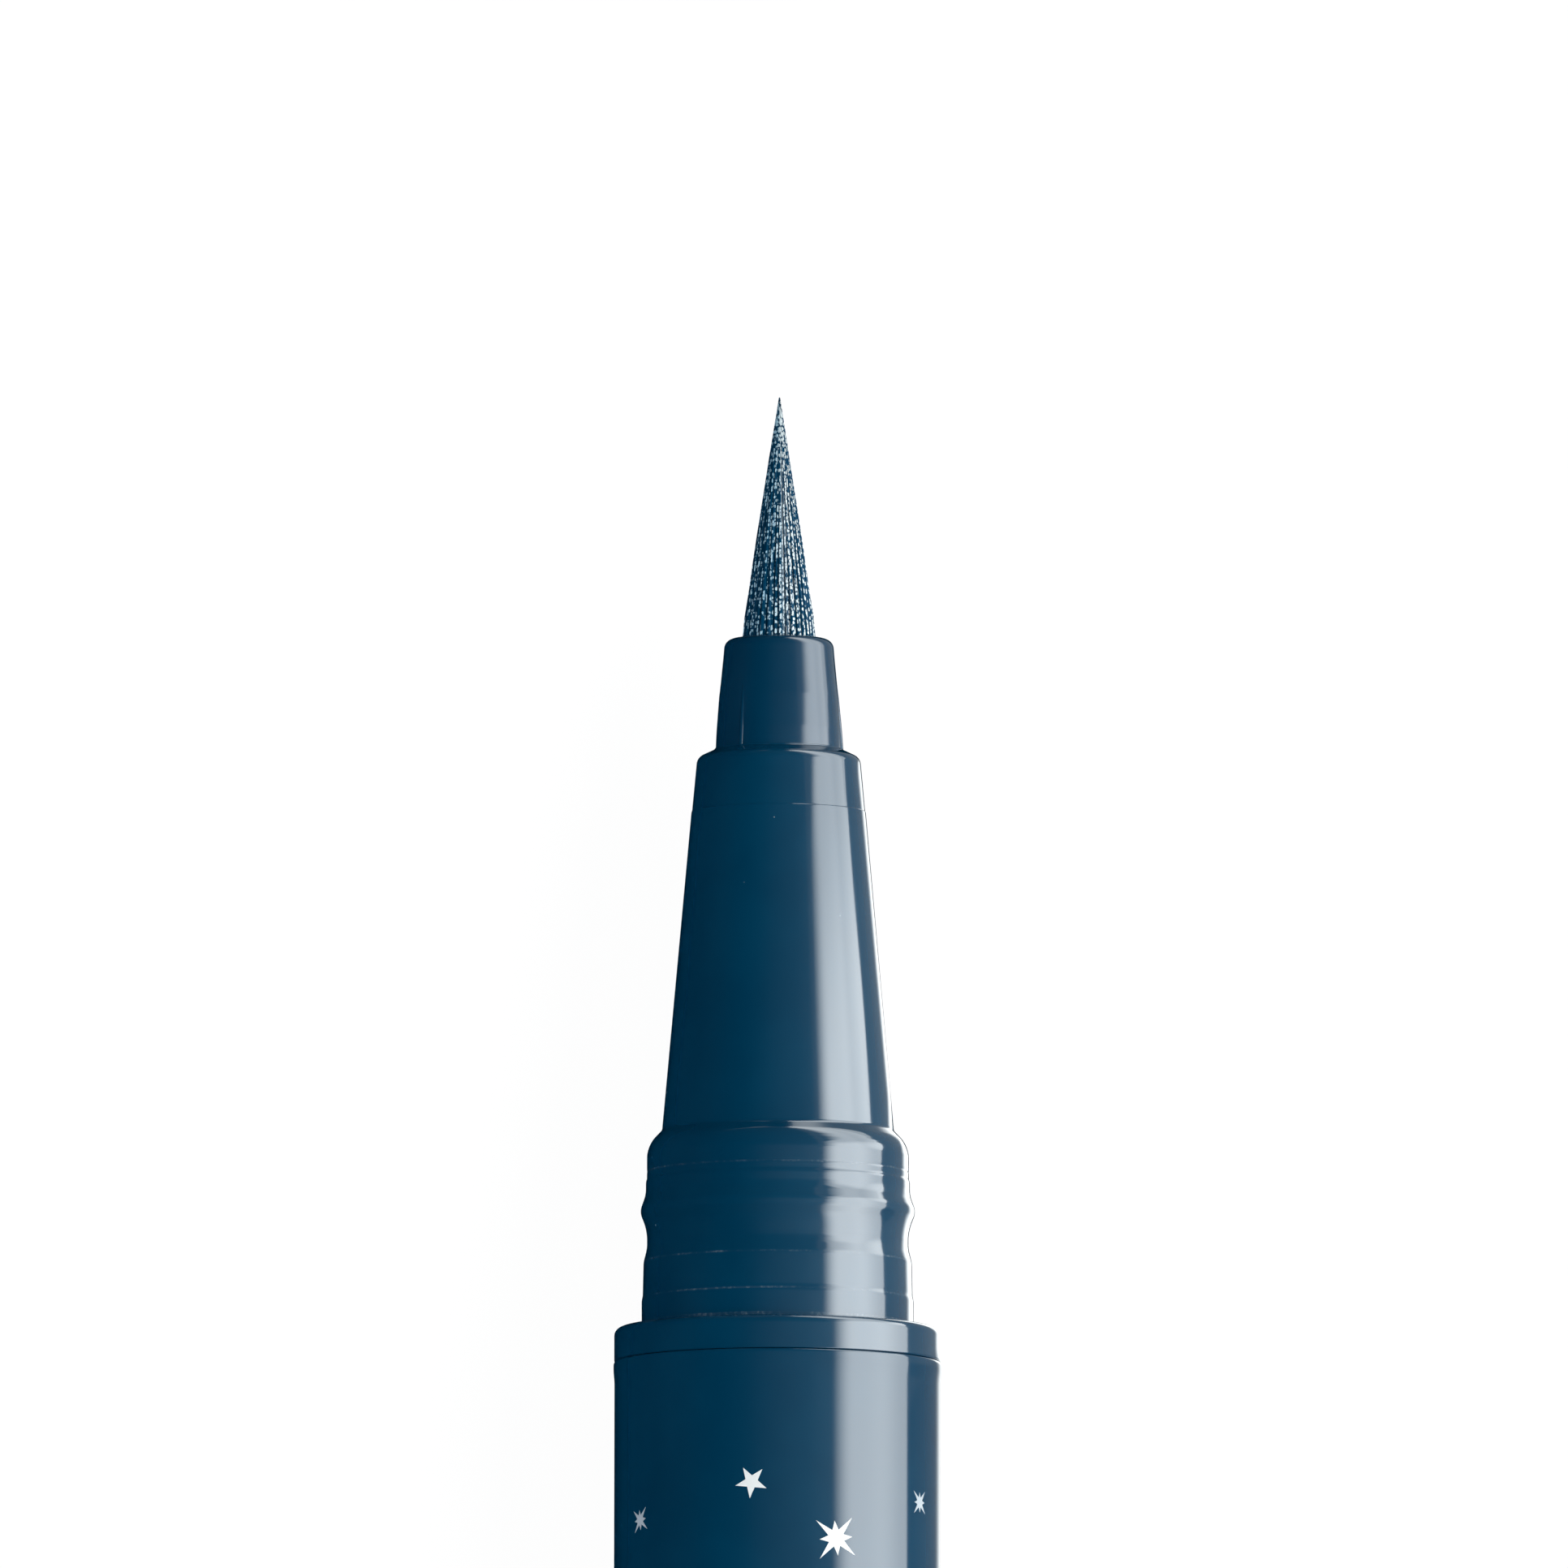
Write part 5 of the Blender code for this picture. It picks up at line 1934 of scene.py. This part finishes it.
@dataclass
class Studio:
    """White floor, soft light and the camera above the pen, which leans towards its tail.

    Every Change with a place along the pen counts in world X. Only reflections show the cards:
    a strip softbox on the right, and a card under the pen that ends in a dark wall on the left.

    Attributes:
        centre: A point on the pen's axis.
        view_middle: Place along the pen in the middle of the picture.
        view_side: How far the picture's middle lies towards -Y.
        view_width: Width of the picture at the pen's axis.
        distance: Distance of the camera.
        lean: The camera's lean towards the tail.
        roll: Turn of the picture.
        sensor: Width of the camera's sensor, in mm.
        floor_size: Width of the floor.
        floor_glow: Radiance of the floor where it is seen.
        floor_veil: Colour that lets the seen floor show the pen's shadow.
        floor_paper: Colour of the floor as it lights the pen.
        card_half: Half the length of the cards.
        card_lift: Height of the card under the pen.
        wall_side: Place of the dark wall across the pen.
        wall_height: Its height.
        card_tint: Colour of every card's light.
        strip_side: Place of the strip softbox across the pen.
        strip_height: Its height.
        strip_brightness: Its radiance at its brightest.
        strip_ends: How it fades towards both ends of the pen.
        strip_edge: Least radiance, which meets the surroundings' own at its upper edge.
        foot_light: Light of its foot along the pen.
        foot_rise: Light of its foot by height.
        strip_drop: How much lower its upper edge lies along the pen.
        top_fade: How it fades by height at that edge.
        foot_line: Place of its foot's reflection across the pen, along the pen.
        foot_blur: How that foot comes in on the card under the pen.
        foot_dim: What is left of it along the pen.
        dim: Radiance of the card under the right flank, along the pen.
        glint: Radiance of its bright edge, which gives the thin light rim on the right.
        glint_line: Place of that edge across the pen, along the pen.
        glint_rise: How the glint comes in across the card.
        glint_shift: Shift of its end across the pen, along the pen.
        glint_end: How the card turns black beyond the glint.
        room_turn: Share of the room's light that grows towards -Y.
        room_level: Its light straight overhead, before the power.
        room_power: How fast it grows.
        room_light: Its radiance where that growth reaches 1.
        room_least: Its least radiance.
        room_along: How it fades towards the brush.
        room_tint: Its colour.
        horizon: How a white line lies on the horizon, by the height of a direction.
        lamps: The key light on the right, the fill overhead and the weak one on the left.
    """

    centre: Vector
    view_middle: float = 11.68 * MM
    view_side: float = 0.176 * MM
    view_width: float = 51.9 * MM
    distance: float = 2.0
    lean: float = math.radians(5.9)
    roll: float = math.radians(0.118)
    sensor: float = 36.0
    floor_size: float = 30.0
    floor_glow: float = 0.97
    floor_veil: Colour = (0.06, 0.06, 0.06)
    floor_paper: Colour = (0.80, 0.80, 0.80)
    card_half: float = 400.0 * MM
    card_lift: float = 0.02 * MM
    wall_side: float = 90.0 * MM
    wall_height: float = 16.0 * MM
    card_tint: Colour = (0.97, 1.0, 0.99)
    strip_side: float = -36.0 * MM
    strip_height: float = 55.0 * MM
    strip_brightness: float = 9.9
    strip_ends: tuple[Change, ...] = ((-45.0 * MM, -22.0 * MM, 0.45, 1.0), (11.0 * MM, 21.0 * MM, 1.0, 0.68))
    strip_edge: float = 0.50
    foot_light: Change = (0.0, 8.0 * MM, 0.57, 0.85)
    foot_rise: Change = (0.0, 18.0 * MM, 0.57, 1.0)
    strip_drop: tuple[Change, ...] = (
        (4.0 * MM, 9.0 * MM, 0.0, 3.0 * MM),
        (23.0 * MM, 27.0 * MM, 0.0, 10.0 * MM),
    )
    top_fade: Change = (33.0 * MM, 55.0 * MM, 1.0, 0.0)
    foot_line: tuple[Change, ...] = (
        (0.0, 8.0 * MM, -37.5 * MM, -24.0 * MM),
        (9.0 * MM, 15.0 * MM, 0.0, -4.5 * MM),
        (17.0 * MM, 18.8 * MM, 0.0, 10.0 * MM),
    )
    foot_blur: Change = (-1.5 * MM, 1.5 * MM, 0.0, 0.76)
    foot_dim: Change = (17.0 * MM, 18.8 * MM, 1.0, 0.65)
    dim: Change = (-7.2 * MM, -6.4 * MM, 0.29, 0.46)
    glint: tuple[Change, ...] = (
        (-7.2 * MM, -6.4 * MM, 1.30, 3.38),
        (0.6 * MM, 2.4 * MM, 1.0, 0.8),
        (13.0 * MM, 14.2 * MM, 1.0, 0.3),
    )
    glint_line: tuple[Change, ...] = (
        (-7.2 * MM, -6.4 * MM, -9.0 * MM, -9.6 * MM),
        (0.6 * MM, 2.4 * MM, 0.0, 1.9 * MM),
        (13.0 * MM, 14.2 * MM, 0.0, 2.4 * MM),
    )
    glint_rise: Change = (0.0, 2.2 * MM, 0.0, 1.0)
    glint_shift: Change = (0.6 * MM, 2.4 * MM, 1.3 * MM, 0.1 * MM)
    glint_end: Change = (-4.9 * MM, -4.0 * MM, 1.0, 0.0)
    room_turn: float = 0.91
    room_level: float = 0.60
    room_power: float = 1.6
    room_light: float = 0.45
    room_least: float = 0.003
    room_along: Change = (0.05, 0.33, 0.90, 0.42)
    room_tint: Colour = (0.84, 1.0, 1.08)
    horizon: Change = (0.035, 0.045, 1.0, 0.0)
    lamps: tuple[Lamp, ...] = (
        Lamp("key", (0.0, -0.57, 0.57), size=0.5, brightness=0.88, tint=(0.98, 1.0, 0.95)),
        Lamp("overhead_fill", (0.0, 0.0, 1.5), size=0.8, brightness=0.15, tint=(1.0, 1.0, 1.0)),
        Lamp("left_fill", (0.0, 1.4, 0.35), size=0.8, brightness=0.33, tint=(0.9, 1.0, 1.12)),
    )

    def camera(self) -> None:
        """Make the camera, which looks down on the pen with the brush upwards in the picture."""
        data = bpy.data.cameras.new("camera")
        data.sensor_width = self.sensor
        data.lens = self.sensor * self.distance / self.view_width
        data.clip_start = 0.1 * self.distance
        data.clip_end = 100.0 * self.distance
        item = add_object("camera", data)
        target = self.centre + Vector((self.view_middle, -self.view_side, 0.0))
        backwards = Vector((-math.sin(self.lean), 0.0, math.cos(self.lean)))
        right = Vector((0.0, -1.0, 0.0))
        turn = Matrix((right, backwards.cross(right), backwards)).transposed().to_4x4()
        spin = Matrix.Rotation(self.roll, 4, "Z")
        item.matrix_world = Matrix.Translation(target + backwards * self.distance) @ turn @ spin
        bpy.context.scene.camera = item

    def floor(self) -> None:
        """Make the floor, white to the camera and in reflections, with the pen's faint shadow."""
        material = bpy.data.materials.new("white_floor")
        graph = NodeGraph(material)
        path = graph.add("LightPath", {})
        seen = graph.math("MAXIMUM", path.outputs["Is Camera Ray"], path.outputs["Is Glossy Ray"])
        seen = graph.math("MAXIMUM", seen, path.outputs["Is Transmission Ray"])
        glow = graph.add("Emission", {"Color": opaque((1.0, 1.0, 1.0)), "Strength": self.floor_glow})
        veil = graph.add("BsdfDiffuse", {"Color": opaque(self.floor_veil)})
        shown = graph.add("AddShader", {0: glow.outputs["Emission"], 1: veil.outputs["BSDF"]})
        paper = graph.add("BsdfDiffuse", {"Color": opaque(self.floor_paper)})
        surface = graph.add("MixShader", {0: seen, 1: paper.outputs["BSDF"], 2: shown.outputs["Shader"]})
        graph.add("OutputMaterial", {"Surface": surface.outputs["Shader"]})
        shape = bmesh.new()
        bmesh.ops.create_grid(shape, x_segments=1, y_segments=1, size=0.5 * self.floor_size)
        self._stage("studio_floor", shape, material)

    def _card(
        self,
        name: str,
        outline: Sequence[tuple[float, float]],
        glow: Callable[[NodeGraph], bpy.types.NodeSocket],
    ) -> None:
        """Make a card along the pen that only glossy reflections show.

        Args:
            name: The card's name.
            outline: Its section across the pen, as places in Y and Z.
            glow: Gives the radiance from a node graph.
        """
        material = bpy.data.materials.new(name)
        graph = NodeGraph(material)
        light = graph.add("Emission", {"Color": opaque(self.card_tint), "Strength": glow(graph)})
        graph.add("OutputMaterial", {"Surface": light.outputs["Emission"]})
        shape = bmesh.new()
        points = [shape.verts.new((-self.card_half, y, z)) for y, z in outline]
        edges = [shape.edges.new(pair) for pair in zip(points, points[1:])]
        made = bmesh.ops.extrude_edge_only(shape, edges=edges)["geom"]
        moved = [item for item in made if isinstance(item, bmesh.types.BMVert)]
        bmesh.ops.translate(shape, vec=Vector((2.0 * self.card_half, 0.0, 0.0)), verts=moved)
        card = self._stage(name, shape, material)
        card.visible_camera = False
        card.visible_diffuse = False
        card.visible_transmission = False
        card.visible_volume_scatter = False
        card.visible_shadow = False

    def _ends(self, graph: NodeGraph, along: bpy.types.NodeSocket) -> bpy.types.NodeSocket:
        """Give the softbox's radiance along the pen, from its node graph and world X."""
        ends = graph.profile(along, self.strip_ends, "MULTIPLY")
        return graph.math("MULTIPLY", self.strip_brightness, ends)

    def _strip_glow(self, graph: NodeGraph) -> bpy.types.NodeSocket:
        """Fade the strip softbox at its lower and upper edge and towards both ends of the pen.

        Args:
            graph: The card's node graph.

        Returns:
            The radiance's socket.
        """
        up, along = graph.axis("Z"), graph.axis("X")
        glow = graph.math("MAXIMUM", graph.span(along, *self.foot_light), graph.span(up, *self.foot_rise))
        lowered = graph.math("ADD", up, graph.profile(along, self.strip_drop))
        glow = graph.math("MULTIPLY", glow, graph.span(lowered, *self.top_fade))
        return graph.math("MAXIMUM", graph.math("MULTIPLY", glow, self._ends(graph, along)), self.strip_edge)

    def _floor_glow(self, graph: NodeGraph) -> bpy.types.NodeSocket:
        """Light the card under the pen: the softbox's foot, dim, a bright edge, then black.

        The bright edge lies nearer where the part of the pen above it is slimmer.

        Args:
            graph: The card's node graph.

        Returns:
            The radiance's socket.
        """
        across, along = graph.axis("Y"), graph.axis("X")
        past_line = graph.math("SUBTRACT", across, graph.profile(along, self.glint_line))
        rise = graph.span(past_line, *self.glint_rise)
        glint = graph.math("MULTIPLY", rise, graph.profile(along, self.glint, "MULTIPLY"))
        glow = graph.math("ADD", graph.span(along, *self.dim), glint)
        edge = graph.math("ADD", across, graph.span(along, *self.glint_shift))
        glow = graph.math("MULTIPLY", glow, graph.span(edge, *self.glint_end))
        before_line = graph.math("SUBTRACT", graph.profile(along, self.foot_line), across)
        foot = graph.span(before_line, *self.foot_blur)
        foot = graph.math("MULTIPLY", foot, graph.span(along, *self.foot_dim))
        return graph.math("ADD", glow, graph.math("MULTIPLY", foot, self._ends(graph, along)))

    def cards(self) -> None:
        """Make the strip softbox on the right, and the card under the pen with its dark wall."""
        strip = [(self.strip_side, 0.0), (self.strip_side, self.strip_height)]
        self._card("strip_softbox", strip, self._strip_glow)
        low, side = self.card_lift, self.wall_side
        outline = [(self.strip_side, low), (side, low), (side, self.wall_height)]
        self._card("reflection_card", outline, self._floor_glow)

    def _stage(self, name: str, shape: bmesh.types.BMesh, material: bpy.types.Material) -> bpy.types.Object:
        """Add a stage object from a shape.

        Args:
            name: The object's name.
            shape: Its shape, which is freed.
            material: Its material.

        Returns:
            The object.
        """
        item = add_shape(name, shape, [material])
        item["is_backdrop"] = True
        return item

    def world(self) -> None:
        """Make the room's dim light, which grows towards -Y and has a white line at the horizon."""
        world = bpy.data.worlds.new("studio")
        bpy.context.scene.world = world
        graph = NodeGraph(world)
        direction = graph.add("TexCoord", {}).outputs["Generated"]
        axes = graph.add("SeparateXYZ", {"Vector": direction})
        turned = graph.math("MULTIPLY", axes.outputs["Y"], -self.room_turn)
        share = graph.math("MAXIMUM", graph.math("ADD", turned, self.room_level), 0.0)
        glow = graph.math("MULTIPLY", graph.math("POWER", share, self.room_power), self.room_light)
        glow = graph.math("MULTIPLY", glow, graph.span(axes.outputs["X"], *self.room_along))
        glow = graph.math("ADD", glow, self.room_least)
        tint = graph.add("VectorMath", {0: self.room_tint, "Scale": glow}, operation="SCALE")
        line = graph.span(graph.math("ABSOLUTE", axes.outputs["Z"]), *self.horizon)
        colour = graph.blend(line, tint.outputs["Vector"], opaque((1.0, 1.0, 1.0)))
        background = graph.add("Background", {"Color": colour, "Strength": 1.0})
        graph.add("OutputWorld", {"Surface": background.outputs["Background"]})

    def build(self) -> None:
        """Set up the whole studio."""
        bpy.context.scene.view_settings.view_transform = "Standard"
        self.camera()
        self.floor()
        self.cards()
        self.world()
        for lamp in self.lamps:
            lamp.build(self.centre + Vector((self.view_middle, 0.0, 0.0)))
        log.info("studio: %.1f mm across the picture", self.view_width / MM)


def write_sizes() -> None:
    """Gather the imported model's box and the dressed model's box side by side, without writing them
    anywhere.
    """
    boxes = {"cad": cad_bounds, "visual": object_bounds()}
    plain = {name: [list(corner) for corner in box] for name, box in boxes.items()}


def main() -> None:
    """Build the pen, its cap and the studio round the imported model."""
    logging.basicConfig(level=logging.INFO, format="%(message)s")
    stations = Stations.from_frame()
    lathe = Lathe(stations.axis_height)
    dust_lines = tuple(stations.barrel_rim + height for height in DUST_LINE_HEIGHTS)
    shop = Workshop(stations, lathe, Finishes.make(lathe.centre, stations.brush_tip, dust_lines), Dresser())
    Studio(lathe.centre).build()
    for assembly in (Barrel, FrontSection, NibHolder, Brush, InkPath, Cap):
        log.info("%s", assembly.__name__)
        assembly(shop).build()
    write_sizes()


if __name__ == "__main__":
    main()
